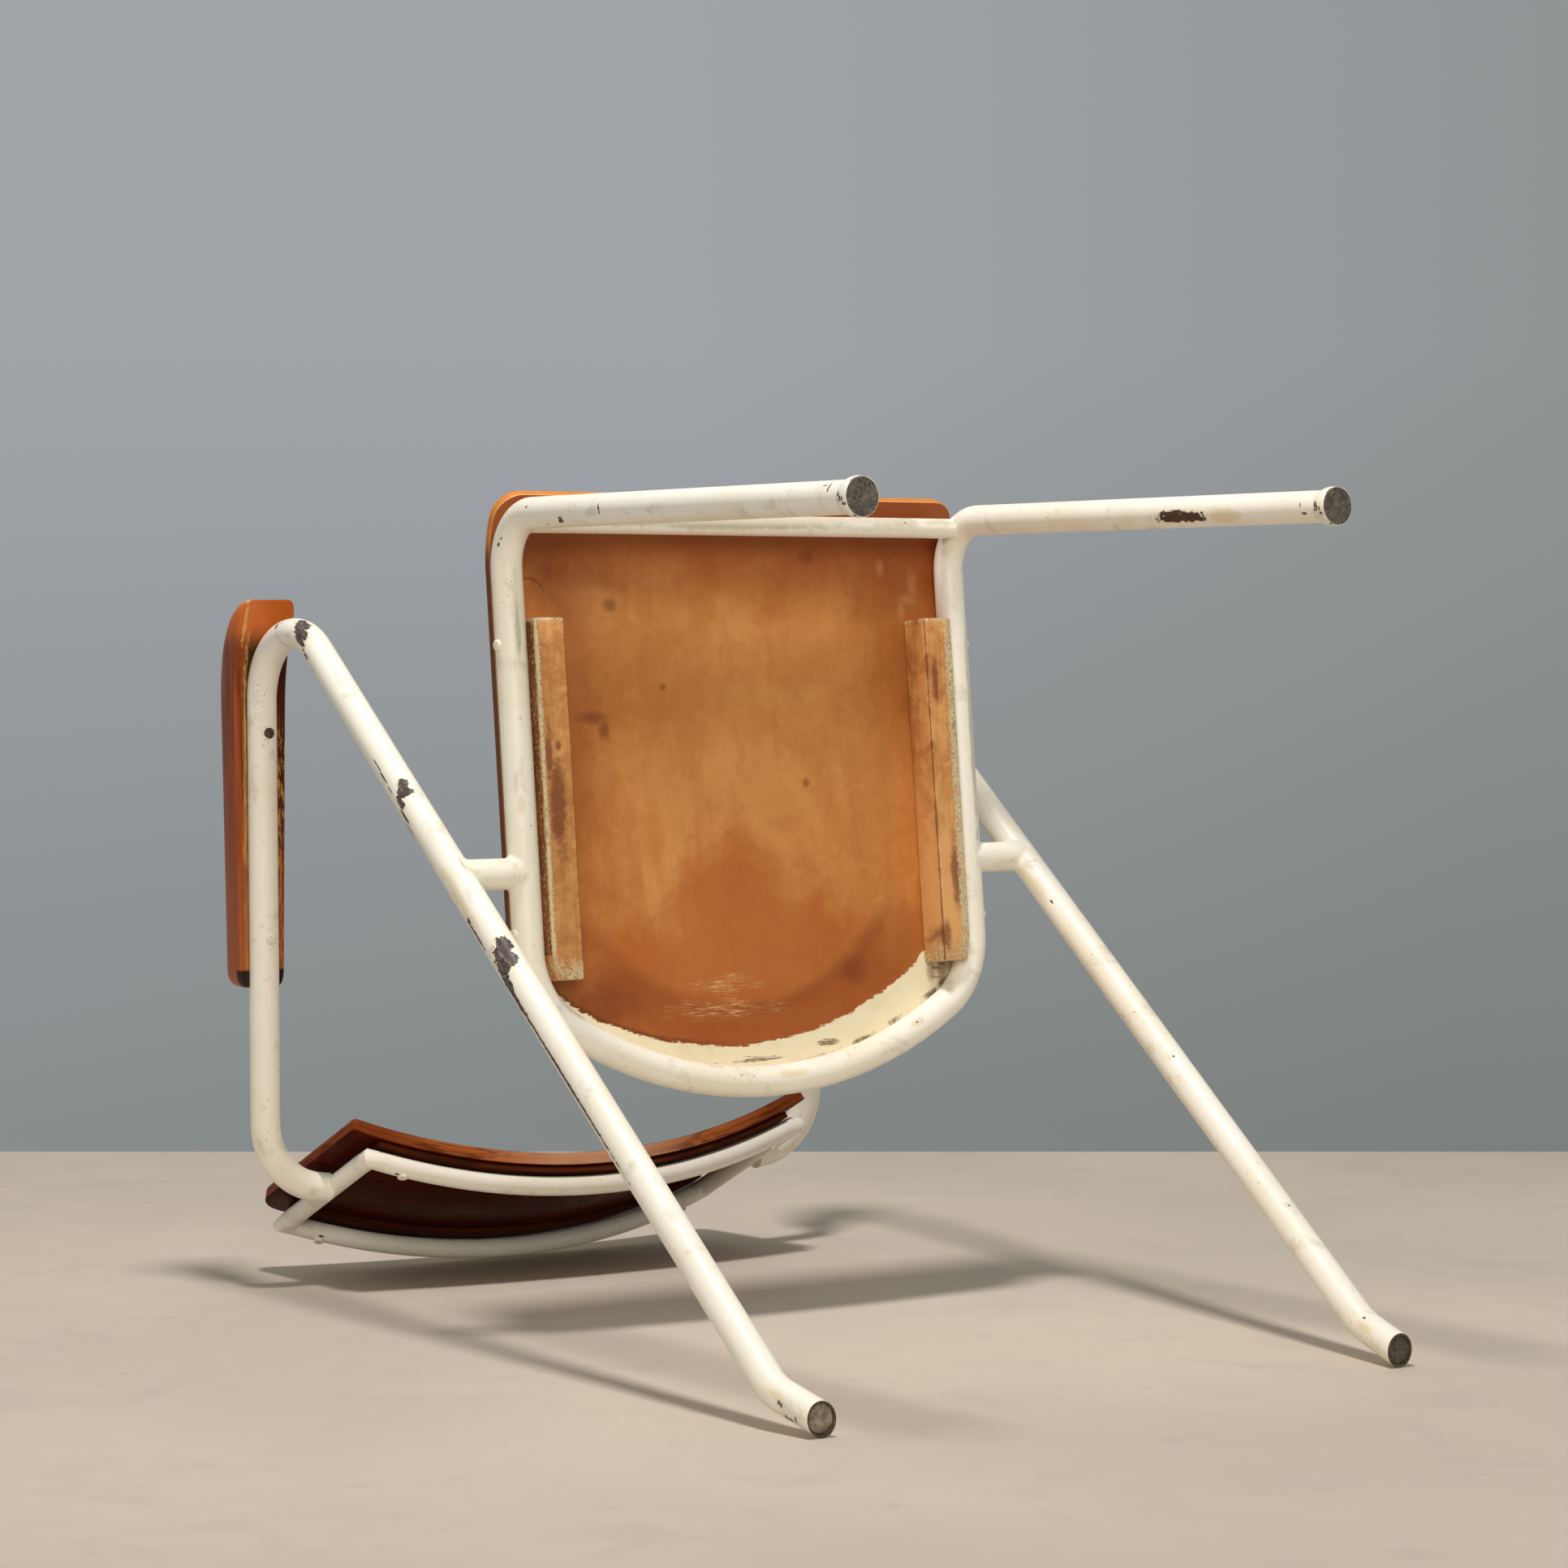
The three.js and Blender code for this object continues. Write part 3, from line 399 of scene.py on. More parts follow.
# %% [markdown]
# ## How a tube is bent
# A bender pulls a straight tube round a former, so its centre line is straight runs joined by arcs. A
# Blender curve with a round bevel could draw this, but its arcs are only near enough. We work out the
# arcs ourselves and carry a ring of points along them. Each point also remembers where it was while the
# tube was still straight. Finishes use that memory, called unbent, to place wear along a tube.

# %% Bend a centre line
longest_straight, shortest_step = 60, 0.05


def bent_line(corners):
    """Stations (place, heading) along straight runs and arcs. Each corner is (point, bend radius)."""
    points = [Vector(place) for place, _ in corners]
    line = [(points[0], (points[1] - points[0]).normalized())]

    def straight_to(place):
        start, heading = line[-1][0], (place - line[-1][0]).normalized()
        count = int((place - start).length / longest_straight)
        line.extend((start.lerp(place, i / (count + 1)), heading) for i in range(1, count + 1))

    for before, corner, after, (_, bend) in zip(points, points[1:], points[2:], corners[1:]):
        arrive, leave = (corner - before).normalized(), (after - corner).normalized()
        turn = arrive.angle(leave)
        inward = (leave - arrive * math.cos(turn)).normalized()
        centre = corner - arrive * bend * math.tan(turn / 2) + inward * bend
        straight_to(centre - bend * inward)
        count = max(3, round(math.degrees(turn) / 3))
        for i in range(count + 1):
            angle = turn * i / count
            spoke = arrive * math.sin(angle) - inward * math.cos(angle)
            heading = arrive * math.cos(angle) + inward * math.sin(angle)
            if (centre + bend * spoke - line[-1][0]).length > shortest_step:
                line.append((centre + bend * spoke, heading))
    straight_to(points[-1])
    line.append((points[-1], (points[-1] - points[-2]).normalized()))
    return line


test_line = bent_line([((0, 0, 0), 0), ((100, 0, 0), 35), ((100, 100, 0), 0)])
print("a test bend has", len(test_line), "stations")

# %% Carry a ring of points along it
def turns(sides):
    """Even angles once round."""
    return [2 * math.pi * i / sides for i in range(sides)]


def round_ring(place, side, other, radius, along, sides):
    """A circle of (point, unbent place) pairs. Side and other are two directions square to the tube."""
    return [(place + radius * (math.cos(a) * side + math.sin(a) * other),
             Vector((radius * math.cos(a), radius * math.sin(a), along))) for a in turns(sides)]


def sweep(line, radius, sides=48):
    """Rings round a line, with their first side carried along without twist."""
    side, last, along, rings = Vector((1, 0, 0)), line[0][0], 0, []
    for place, heading in line:
        side = (side - side.project(heading)).normalized()
        along += (place - last).length
        last = place
        rings.append(round_ring(place, side, heading.cross(side), radius, along, sides))
    return rings


print("rings on the test bend:", len(sweep(test_line, 11)))

# %% [markdown]
# ## From rings to a piece
# Rings become a skin of four-sided faces. Shading should run smoothly round a tube but break at a real
# edge, so faces are smooth and only edges sharper than 40 degrees are marked sharp. The same function
# stores the unbent memory on the mesh, gives the piece its finishes and ties it to the frame.

# %% Skin rings into a piece
def skin(rings, close_start=True, close_end=True):
    """Points, unbent places and faces of a closed run of rings."""
    count = len(rings[0])
    points = [p for ring in rings for p, _ in ring]
    unbent = [u for ring in rings for _, u in ring]
    faces = []
    for r in range(len(rings) - 1):
        for i in range(count):
            j = (i + 1) % count
            faces.append((r * count + i, r * count + j, (r + 1) * count + j, (r + 1) * count + i))
    if close_start:
        faces.append(tuple(reversed(range(count))))
    if close_end:
        faces.append(tuple(range((len(rings) - 1) * count, len(rings) * count)))
    return points, unbent, faces


print("one skinned test bend:", len(skin(sweep(test_line, 11))[2]), "faces")

# %% Tie a piece to the frame
def make_piece(name, shape, finish, stands_for, sharp=40):
    """A piece in place in the frame, from a skin's points, unbent places and faces in millimetres."""
    points, unbent, faces = shape
    piece = new_object(name, [in_frame(p) for p in points], faces)
    mesh = piece.data
    memory = mesh.attributes.new("unbent", "FLOAT_VECTOR", "POINT")
    memory.data.foreach_set("vector", [MM * v for place in unbent for v in place])
    mesh.shade_smooth()
    mesh.set_sharp_from_angle(angle=math.radians(sharp))
    for material in finish if isinstance(finish, list) else [finish]:
        mesh.materials.append(material)
    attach(piece, "root")
    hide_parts(*stands_for)
    return piece


# %% [markdown]
# ## Cream enamel
# The frame wears thick cream enamel, which has yellowed in clouds, gathered grey rubs and chipped down to
# rusty steel. The enamel could be one layered shader, but a mix of colours with one bump is cheaper and
# survives export. Each chip is an oval spot with a torn rim: its place is given as it would be on the
# straight tube, by the distance along it and the angle round it. Round the steel a rim of old yellow
# shows, and the bump sinks. Softer spots of the same kind make the yellowed, grimed and peppered places;
# the grime patch along the cross rail is painted shade, where the rail lies under the seat.

# %% Colours and chips
enamel_cream, enamel_yellow = paint(250, 244, 228), paint(240, 229, 200)
enamel_rub, old_yellow = paint(200, 188, 162), paint(226, 203, 152)
bare_steel, grey_steel = paint(82, 68, 60), paint(136, 126, 116)
dark_rust, brown_rust = paint(44, 32, 26), paint(98, 62, 42)


def nearest_chip(coat, chips, radius, noise, ragged=2.4):
    """How far the nearest chip is, in chips: (mm along, degrees round, length, width)."""
    spots = []
    for along, degrees, length, width in chips:
        turn = math.radians(degrees)
        place = (radius * math.cos(turn), radius * math.sin(turn), along)
        spots.append((place, (width / 2, width / 2, length / 2)))
    return coat.torn(coat.nearest(spots), noise, ragged)


print("bare steel is", [round(v, 3) for v in bare_steel], "and rust is", [round(v, 3) for v in dark_rust])

# %% The enamel
def enamel(name, chips=(), rusty=(), yellowed=(), grime_and_shade=(), peppered=(), radius=11):
    coat = Finish(name)
    coat.clear_coat(0.12, 0.34)
    broad = coat.cloud(coat.space, 9, 3, 0.6)
    blotch = coat.cloud(coat.space, 46, 4, 0.62, 0.4)
    speck = coat.cloud(coat.space, 330, 2, 0.5)
    torn = coat.cloud(coat.space, 260, 4, 0.7)
    colour = coat.tint(enamel_cream, enamel_yellow, broad, 0.42, 0.66, 0, 0.5)
    colour = coat.tint(colour, enamel_rub, blotch, 0.56, 0.70, 0, 0.45)
    stained = coat.times(coat.step(speck, 0.68, 0.76), coat.step(broad, 0.46, 0.6))
    colour = coat.mix(coat.times(stained, 0.7), colour, paint(128, 108, 82))
    # Soft patches of old yellow and of grime. On the cross rail the grime patch is painted shade.
    for places, tint, strength in ((yellowed, old_yellow, 0.55), (grime_and_shade, paint(164, 148, 110), 0.5)):
        if places:
            patch = nearest_chip(coat, places, radius, blotch, 2.6)
            colour = coat.tint(colour, tint, patch, 0.5, 1.3, strength, 0)
    if peppered:
        dots = coat.step(coat.cloud(coat.space, 700, 3, 0.6), 0.58, 0.66)
        zone = nearest_chip(coat, peppered, radius, torn, 0.6)
        dots = coat.times(dots, coat.step(zone, 0.4, 1.0, 0.65, 0))
        colour = coat.mix(dots, colour, paint(84, 68, 54))
    scrape = coat.cloud(coat.scaled(coat.unbent, 500, 500, 90), 1.0, 3, 0.6)
    steel = coat.tint(bare_steel, grey_steel, scrape, 0.48, 0.66)
    steel = coat.tint(steel, dark_rust, speck, 0.5, 0.7, 0, 0.8)
    rough = coat.step(blotch, 0.3, 0.8, 0.34, 0.54)
    height = coat.times(coat.cloud(coat.space, 120, 1, 0.4), 0.2)
    for places, metal in ((chips, steel), (rusty, coat.mix(speck, brown_rust, dark_rust))):
        if places:
            reach = nearest_chip(coat, places, radius, torn)
            bare = coat.step(reach, 0.92, 1.02, 1, 0)
            rim = coat.times(bare, coat.step(reach, 0.62, 0.92, 0, 0.85))
            colour = coat.tint(colour, old_yellow, reach, 1.0, 1.4, 0.6, 0)
            colour = coat.mix(rim, coat.mix(bare, colour, metal), dark_rust)
            rough = coat.plus(rough, coat.times(bare, 0.3))
            height = coat.reckon("SUBTRACT", height, coat.times(bare, 1.2))
    return coat.done(colour, rough, height, 0.00025)


stub_enamel = enamel("enamel_stubs")
print("plain enamel, for the short stubs, takes", len(stub_enamel.node_tree.nodes), "nodes")

# %% [markdown]
# ## Front legs, rails and bow
# One tube makes both front legs, the two rails and the bow behind the seat. It rises from a foot, bends
# back along the seat and rounds the bow: a tight bend, one wide bend and the tight bend again. Two
# mirrored halves could be joined, but one unbroken line is how the real tube runs.

# %% The long tube's sizes
main_radius, thin_radius = 11, 7.25
front_foot = Vector((198, 13.2, 0))
front_knee = Vector((rail_half_span, rail_setback, rail_height))
knee_bend, inside_cap = 35, 2
rail_straight, bow_corner_radius, bow_turn = 304.7, 60, math.radians(58)
bow_corner_out = rail_half_span - bow_corner_radius
bow_corner = rail_straight + bow_corner_radius * math.tan(bow_turn / 2)
bow_radius = bow_corner_radius + bow_corner_out / math.cos(bow_turn)
bow_tip = bow_corner + rail_half_span / math.tan(bow_turn)
bow_centre = rail_straight - (bow_radius - bow_corner_radius) * math.sin(bow_turn)
print("the bow's radius is", round(bow_radius, 1), "mm, and its tip lies", round(bow_tip, 1), "mm back")

# %% The long tube's line
def mirrored(point, side):
    """A point on the chair's right, or its twin on the left when side is -1."""
    return Vector((side * point[0], point[1], point[2]))


def on_seat(x, y, z=0):
    return seat_frame @ Vector((x, y, z))


def on_back(x, y, z=0):
    return back_frame @ Vector((x, y, z))


def long_tube_line():
    foot = front_foot + (front_knee - front_foot).normalized() * inside_cap
    left = [(mirrored(foot, -1), 0), (mirrored(front_knee, -1), knee_bend),
            (on_seat(-rail_half_span, bow_corner), bow_corner_radius)]
    right = [(mirrored(p, -1), bend) for p, bend in reversed(left)]
    return bent_line([*left, (on_seat(0, bow_tip), bow_radius), *right])


long_line = long_tube_line()
print("long tube:", len(long_line), "stations")

# %% The long tube
long_chips = [
    (21, 216, 1.6, 7), (26, 222, 5, 1.2), (281.8, 176, 1.8, 5), (283, 188, 1.4, 5), (332, 147, 4.5, 4.5),
    (334, 139, 3, 2.5), (352, 130, 1.5, 1.5), (1079, 58, 2, 1.2), (420.5, 162, 4, 1.8), (415, 158, 2, 1.4),
    (374, 200, 2, 1.6), (1880, 20, 6, 1.8), (1861, 24, 5, 2), (1858, 352, 1.2, 4), (1896, 352, 1.2, 5),
    (1889, 8, 2, 2)]
long_rust = [(1736, 22, 52, 7.5), (1728, 10, 26, 6), (1748, 26, 24, 6)]
long_yellow = [(1780, 22, 30, 11), (602, 118, 14, 5), (1078, 56, 12, 6), (958, 70, 26, 7)]
long_grime = [(1408, 140, 70, 6), (1324, 112, 160, 5), (480, 92, 60, 5)]
long_enamel = enamel("enamel_long_tube", long_chips, long_rust, long_yellow, long_grime)
long_shape = skin(sweep(long_line, main_radius))
make_piece("front_legs_and_rails", long_shape, long_enamel, ["seat_leg_tube"])
print("long tube:", round(long_shape[1][-1].z), "mm of tube")

# %% [markdown]
# ## Welds
# Where one tube butts on another, the real chair has a smooth fillet of braze under the enamel. A
# boolean cut would leave a sharp line. Instead the end ring of each short tube is laid on the surface
# of its neighbour, and a few more rings run out from there in a hollow curve. For each point we find
# where a line along the short tube leaves the neighbour's round surface.

# %% Rings that fillet a tube onto its neighbour
thinner_at_sides, sunk = 0.75, 0.1


def leaves_tube(start, heading, centre, axis, radius):
    """How far along heading from start a line leaves an endless round bar."""
    across, aim = start - centre, heading - axis * heading.dot(axis)
    across = across - axis * across.dot(axis)
    a, b, c = aim.dot(aim), aim.dot(across), across.dot(across) - radius ** 2
    inside = b * b - a * c
    return (-b + math.sqrt(max(inside, 0))) / a


def fillet_rings(centre, heading, radius, neighbour, size, sides=40, steps=6):
    """Rings from a neighbour, given as (centre, axis, radius), out to a tube's own radius."""
    middle, axis, bar = neighbour
    side = axis.cross(heading).normalized()
    other = heading.cross(side)
    rings = []
    for k in range(steps + 1):
        curve = math.pi / 2 * k / steps
        ring = []
        for a in turns(sides):
            little = size * (1 - thinner_at_sides * math.cos(a) ** 2 * min(1, (radius / bar) ** 2))
            r = radius + little * (1 - math.sin(curve))
            start = centre + r * (math.cos(a) * side + math.sin(a) * other)
            away = leaves_tube(start, heading, middle, axis, bar) + little * (1 - math.cos(curve)) - sunk
            ring.append((start + heading * away, Vector((r * math.cos(a), r * math.sin(a), away))))
        rings.append(ring)
    return rings


test_bar = (Vector((0, 0, 0)), Vector((0, 0, 1)), 11)
test_fillet = fillet_rings(Vector((0, 0, 0)), Vector((1, 0, 0)), 7, test_bar, 2)
print("a fillet is", len(test_fillet), "rings of", len(test_fillet[0]), "points")

# %% A short tube with a fillet at both ends
def welded_tube(start, end, radius, start_bar, end_bar, size):
    """A short tube between two neighbours. The far rings' points are matched to the near ones'."""
    heading, length = (end - start).normalized(), (end - start).length
    rings = fillet_rings(start, heading, radius, start_bar, size)
    near_ring = rings[-1]

    def apart(one, other):
        """How far apart two places lie, seen along the tube."""
        away = one - other
        return (away - heading * away.dot(heading)).length

    for ring in reversed(fillet_rings(end, -heading, radius, end_bar, size)):
        far_ring = [(p, Vector((u.x, u.y, length - u.z))) for p, u in ring]
        rings.append([min(far_ring, key=lambda pair: apart(pair[0], p)) for p, _ in near_ring])
    return skin(rings, False, False)


far_bar = (Vector((50, 0, 0)), Vector((0, 0, 1)), 11)
test_weld = welded_tube(test_bar[0], far_bar[0], 7, test_bar, far_bar, 2)
print("a short test tube has", len(test_weld[2]), "faces")

# %% [markdown]
# ## The cross rail and the stubs
# A thin tube joins the front legs just under the seat, in the legs' own bend. A thick short stub ties
# each rail to its rear leg. Both are straight, and both use the fillets made above.

# %% The cross rail
def station_at_height(line, height):
    """The place and heading where a line first passes a height."""
    for (low, heading), (high, _) in zip(line, line[1:]):
        if low.z <= height < high.z:
            return low.lerp(high, (height - low.z) / (high.z - low.z)), heading
    raise ValueError("the line does not reach that height")


cross_drop, cross_fillet = 19, 3
cross_left, leg_heading = station_at_height(long_line, rail_height - cross_drop)
cross_right = mirrored(cross_left, -1)
left_bar = (cross_left, leg_heading, main_radius)
right_bar = (cross_right, mirrored(leg_heading, -1), main_radius)
# The grime strip along the cross rail is painted shade, where the rail lies under the seat.
cross_enamel = enamel("enamel_cross_rail", [(330, 268, 2, 1)], grime_and_shade=[(190, 275, 420, 7)], radius=thin_radius)
cross_shape = welded_tube(cross_left, cross_right, thin_radius, left_bar, right_bar, cross_fillet)
make_piece("cross_rail", cross_shape, cross_enamel, ["front_cross_rail"])
print("cross rail:", round((cross_right - cross_left).length), "mm between leg centres")

# %% The line of the rear legs and arms
both_sides = ((-1, "left"), (1, "right"))
rear_foot, rear_knee = Vector((241.6, 581.9, 0)), Vector((247, 567.7, 42.8))
arm_front = Vector((246.5, 22.5, 668.1))
loop_half_span, arm_height_on_loop = 189.4, 60.7
arm_meet = on_back(loop_half_span, 0, arm_height_on_loop)
arm_rear = Vector((244, arm_meet.y - 8, arm_meet.z))
kick_bend, arm_bend, into_loop = 45, 50, 3


def arm_line(side):
    end = arm_meet + (arm_rear - arm_meet).normalized() * into_loop
    corners = [(rear_foot, 0), (rear_knee, kick_bend), (arm_front, arm_bend), (arm_rear, arm_bend), (end, 0)]
    return bent_line([(mirrored(p, side), bend) for p, bend in corners])


arm_length = sum((b - a).length for (a, _), (b, _) in zip(arm_line(1), arm_line(1)[1:]))
print("rear leg and arm:", round(arm_length), "mm of tube on each side")

# %% The stubs
stub_setback, stub_fillet, stub_radius = 249, 4, main_radius - 0.1

for side, side_name in both_sides:
    rail_place = on_seat(side * rail_half_span, stub_setback)
    knee, front = mirrored(rear_knee, side), mirrored(arm_front, side)
    leg_place = knee.lerp(front, (knee.y - rail_place.y) / (knee.y - front.y))
    rail_bar = (rail_place, (on_seat(0, 1) - on_seat(0, 0)).normalized(), main_radius)
    leg_bar = (leg_place, (front - knee).normalized(), main_radius)
    stub_shape = welded_tube(rail_place, leg_place, stub_radius, rail_bar, leg_bar, stub_fillet)
    make_piece(f"stub_{side_name}_smooth", stub_shape, stub_enamel, [f"stub_{side_name}"])
    print(side_name, "stub:", round((leg_place - rail_place).length, 1), "mm between tube centres")

# %% [markdown]
# ## Rear legs and arms
# On each side one tube makes the rear leg and the arm. It has a small kick at the foot, rises at a slant,
# turns back along the arm and in towards the back. Its foot is cut level with the floor of the standing
# chair, so the last ring is slid along the tube until it is flat. Inside sits a plug.
#
# The left tube carries most of the chair's chips. One finish holds only so many spots before it grows too
# heavy to draw. So each tube wears two coats of the same enamel, one for the leg and one for the arm, and
# every face picks its coat by how far along the tube it lies.

# %% Scuffed, gritty foot faces
def gritty_finish(name, dark, middle, pale, scratched):
    grit = Finish(name, gloss=0.25)
    coarse = grit.cloud(grit.space, 420, 5, 0.75)
    soft = grit.cloud(grit.space, 110, 3, 0.6)
    hair = grit.gap(grit.cloud(grit.space, 260, 4, 0.55, 2.2), 0.5)
    colour = grit.tint(dark, middle, coarse, 0.35, 0.65)
    colour = grit.tint(colour, pale, soft, 0.45, 0.7, 0, 0.6)
    colour = grit.tint(colour, paint(176, 168, 152), hair, 0.004, 0.02, scratched, 0)
    return grit.done(colour, 0.82, coarse, 0.0006)


grit_material = gritty_finish("foot_grit", paint(56, 52, 47), paint(104, 97, 88), paint(124, 116, 104), 0.75)
rim_material = gritty_finish("foot_rim", paint(48, 42, 35), paint(92, 82, 68), paint(112, 100, 84), 0.3)
plug_materials = {
    -1: gritty_finish("foot_plug_left", paint(108, 94, 76), paint(140, 126, 104), paint(184, 174, 156), 0.4),
    1: gritty_finish("foot_plug_right", paint(54, 48, 40), paint(84, 76, 64), paint(104, 94, 80), 0.4),
}
print("foot finishes:", grit_material.name, rim_material.name, len(plug_materials), "plugs")

# %% Chips and dirt on the arm and leg tubes
arm_chips = {
    (-1, "leg"): [
        (28, 184, 2.5, 3), (25.5, 180, 2, 2.6), (22, 140, 2, 5), (17, 146, 5, 1.6), (12, 158, 2, 4),
        (335, 167, 168, 2.6), (400, 166, 34, 4.6), (418, 172, 20, 6.5), (430, 190, 16, 10),
        (437, 214, 24, 13), (446, 240, 15, 11), (434, 240, 14, 8), (470, 164, 30, 2.4), (482, 172, 8, 2)],
    (-1, "arm"): [
        (580, 152, 14, 1.8), (590, 170, 14, 2.4), (600, 190, 12, 4.5), (606, 222, 13, 8), (612, 236, 8, 7),
        (603, 240, 5, 6), (640, 188, 12, 1.1), (628, 183, 13, 1.4), (616, 179, 8, 1), (764, 167, 6, 3.2),
        (769, 174, 2.6, 1.8), (774, 186, 9, 4.5), (780, 208, 13, 10), (786, 236, 13, 10), (790, 252, 6, 6),
        (813, 212, 2.6, 5)],
    (1, "leg"): [(36, 230, 3, 2), (148, 262, 2, 1.6), (300, 240, 3, 1.6), (470, 210, 4, 1.4)],
    (1, "arm"): [(640, 100, 6, 3), (900, 120, 4, 3)],
}
yellow_patches = [(505, 190, 60, 7), (560, 150, 40, 5), (30, 200, 22, 7)]
pepper_zones = [(880, 120, 62, 20), (905, 105, 30, 12)]
print("chips:", {" ".join((side_name, part)): len(arm_chips[side, part])
                 for side, side_name in both_sides for part in ("leg", "arm")})

# %% The arm and leg tubes
tube_bore, bore_depth, coat_change = 9.5, 12, 520


def level_foot(rings, heading):
    """Slide the first ring along the tube until it lies flat on the standing chair's floor."""
    rings[0] = [(p - heading * (p.z / heading.z), u) for p, u in rings[0]]


for side, side_name in both_sides:
    line = arm_line(side)
    foot_heading = line[0][1]
    bore, rings = sweep(line[:2], tube_bore), sweep(line, main_radius)
    level_foot(rings, foot_heading)
    level_foot(bore, foot_heading)
    bore_end = [(p + foot_heading * bore_depth, u) for p, u in bore[0]]
    shape = skin([bore_end, bore[0], *rings], False)
    coats = [enamel(f"enamel_{part}_{side_name}", arm_chips[side, part], (), yellow_patches, (), pepper_zones)
             for part in ("leg", "arm")]
    tube = make_piece(f"leg_and_arm_{side_name}", shape, [*coats, rim_material],
                      [f"arm_leg_tube_{side_name}"])
    _, unbent, _ = shape
    for number, face in enumerate(tube.data.polygons):
        past_change = unbent[face.vertices[0]].z >= coat_change
        face.material_index = 2 if number < 2 * len(bore_end) else int(past_change)
    print(side_name, "leg and arm:", round(unbent[-1].z), "mm of tube")

# %% [markdown]
# ## The back's loop
# Two thin rails, bent to the curve of the back, and two straight bars make a closed loop, mitred at its
# corners. Four mitred tubes would need their joints hidden. One ring carried round the whole loop gives
# the same form: at a corner it turns to halve the angle, and on the inside of the corner its points are
# pulled out a little to make the braze.

# %% The loop's line
loop_rise, loop_radius = 135, 548
mitre_reach, braze = 12, 3.2
loop_sag = math.sqrt(loop_radius ** 2 - loop_half_span ** 2)


def round_back(angle, radius, height):
    """A place in the back's own frame: angle from the middle, distance from its axis, height up its lean."""
    return Vector((radius * math.sin(angle), radius * math.cos(angle) - loop_sag, height))


def loop_path(steps=36):
    """Places round the loop, and which of them are corners."""
    half = math.asin(loop_half_span / loop_radius)
    lower = [round_back(half * (2 * i / steps - 1), loop_radius, 0) for i in range(steps + 1)]
    upper = [Vector((p.x, p.y, loop_rise)) for p in reversed(lower)]
    return lower + upper, {0, steps, steps + 1, 2 * steps + 1}


print("the loop's line has", len(loop_path()[0]), "places and bows", round(loop_radius - loop_sag, 1), "mm")

# %% One ring of the loop
def loop_ring(spot, heading, stretch, inward, along, sides=32):
    """One ring of the loop. At a corner it is stretched, and pulled inward for the braze."""
    out = Vector((0, 1, 0))
    side = (out - out.project(heading)).normalized()
    other = heading.cross(side)
    ring = []
    for a in turns(sides):
        offset = thin_radius * (math.cos(a) * side + stretch * math.sin(a) * other)
        if inward:
            offset += inward * braze * max(0, offset.normalized().dot(inward)) ** 3
        ring.append((spot + offset, Vector((thin_radius * math.cos(a), thin_radius * math.sin(a), along))))
    return ring


test_ring = loop_ring(Vector((0, 0, 0)), Vector((1, 0, 0)), 1, None, 0)
print("a ring of the loop has", len(test_ring), "points")

# %% The back's loop
def loop_rings():
    path, corners = loop_path()
    rings, along = [], 0
    for i, place in enumerate(path):
        before, after = path[i - 1], path[(i + 1) % len(path)]
        arrive, leave = (place - before).normalized(), (after - place).normalized()
        heading = (arrive + leave).normalized()
        along += (place - before).length if i else 0
        if i not in corners:
            rings.append(loop_ring(place, heading, 1, None, along))
            continue
        rings.append(loop_ring(place - arrive * mitre_reach, arrive, 1, None, along))
        stretch = 1 / max(0.5, heading.dot(arrive))
        rings.append(loop_ring(place, heading, stretch, (leave - arrive).normalized(), along))
        rings.append(loop_ring(place + leave * mitre_reach, leave, 1, None, along))
    return rings


loop = [[(back_frame @ p, u) for p, u in ring] for ring in loop_rings()]
loop.append(list(loop[0]))
loop_shape = skin(loop, False, False)
loop_enamel = enamel("enamel_back_loop", [(23, 349, 4, 2), (881, 40, 4, 2)], radius=thin_radius)
make_piece("back_loop", loop_shape, loop_enamel,
           ["back_rail_lower", "back_rail_upper", "back_end_bar_left", "back_end_bar_right"])
print("loop:", len(loop), "rings, each of", len(loop[0]), "points")

# %% [markdown]
# ## Sheets of bent wood
# Plywood seats and backs are pressed flat sheets, so they are easiest to make flat: an outline, a
# thickness, rounded edges, then one bend. A solidify modifier on a curved grid would do, but it can't give
# the top edge a large round and the lower edge a small one. We stack copies of the outline instead,
# each drawn in by the right amount, and bend every layer.

# %% Layers of an outline
def drawn_in(outline, inset):
    """The outline moved inwards by an even distance."""
    moved = []
    for i, here in enumerate(outline):
        arrive = (here - outline[i - 1]).normalized()
        leave = (outline[(i + 1) % len(outline)] - here).normalized()
        inward = Vector((-arrive.y - leave.y, arrive.x + leave.x)).normalized()
        moved.append(here + inward * inset / inward.dot(Vector((-arrive.y, arrive.x))))
    return moved


def rounded_layers(thickness, low_round, high_round, steps=5):
    """(height, inset) pairs up the edge of a sheet."""
    layers = []
    for i in range(steps, -1, -1):
        a = math.pi / 2 * i / steps
        layers.append((low_round * (1 - math.sin(a)), low_round * (1 - math.cos(a))))
    for i in range(steps + 1):
        a = math.pi / 2 * i / steps
        layers.append((thickness - high_round * (1 - math.sin(a)), high_round * (1 - math.cos(a))))
    return layers


print("a 10 mm sheet with 2 mm rounds has", len(rounded_layers(10, 1, 2)), "layers")

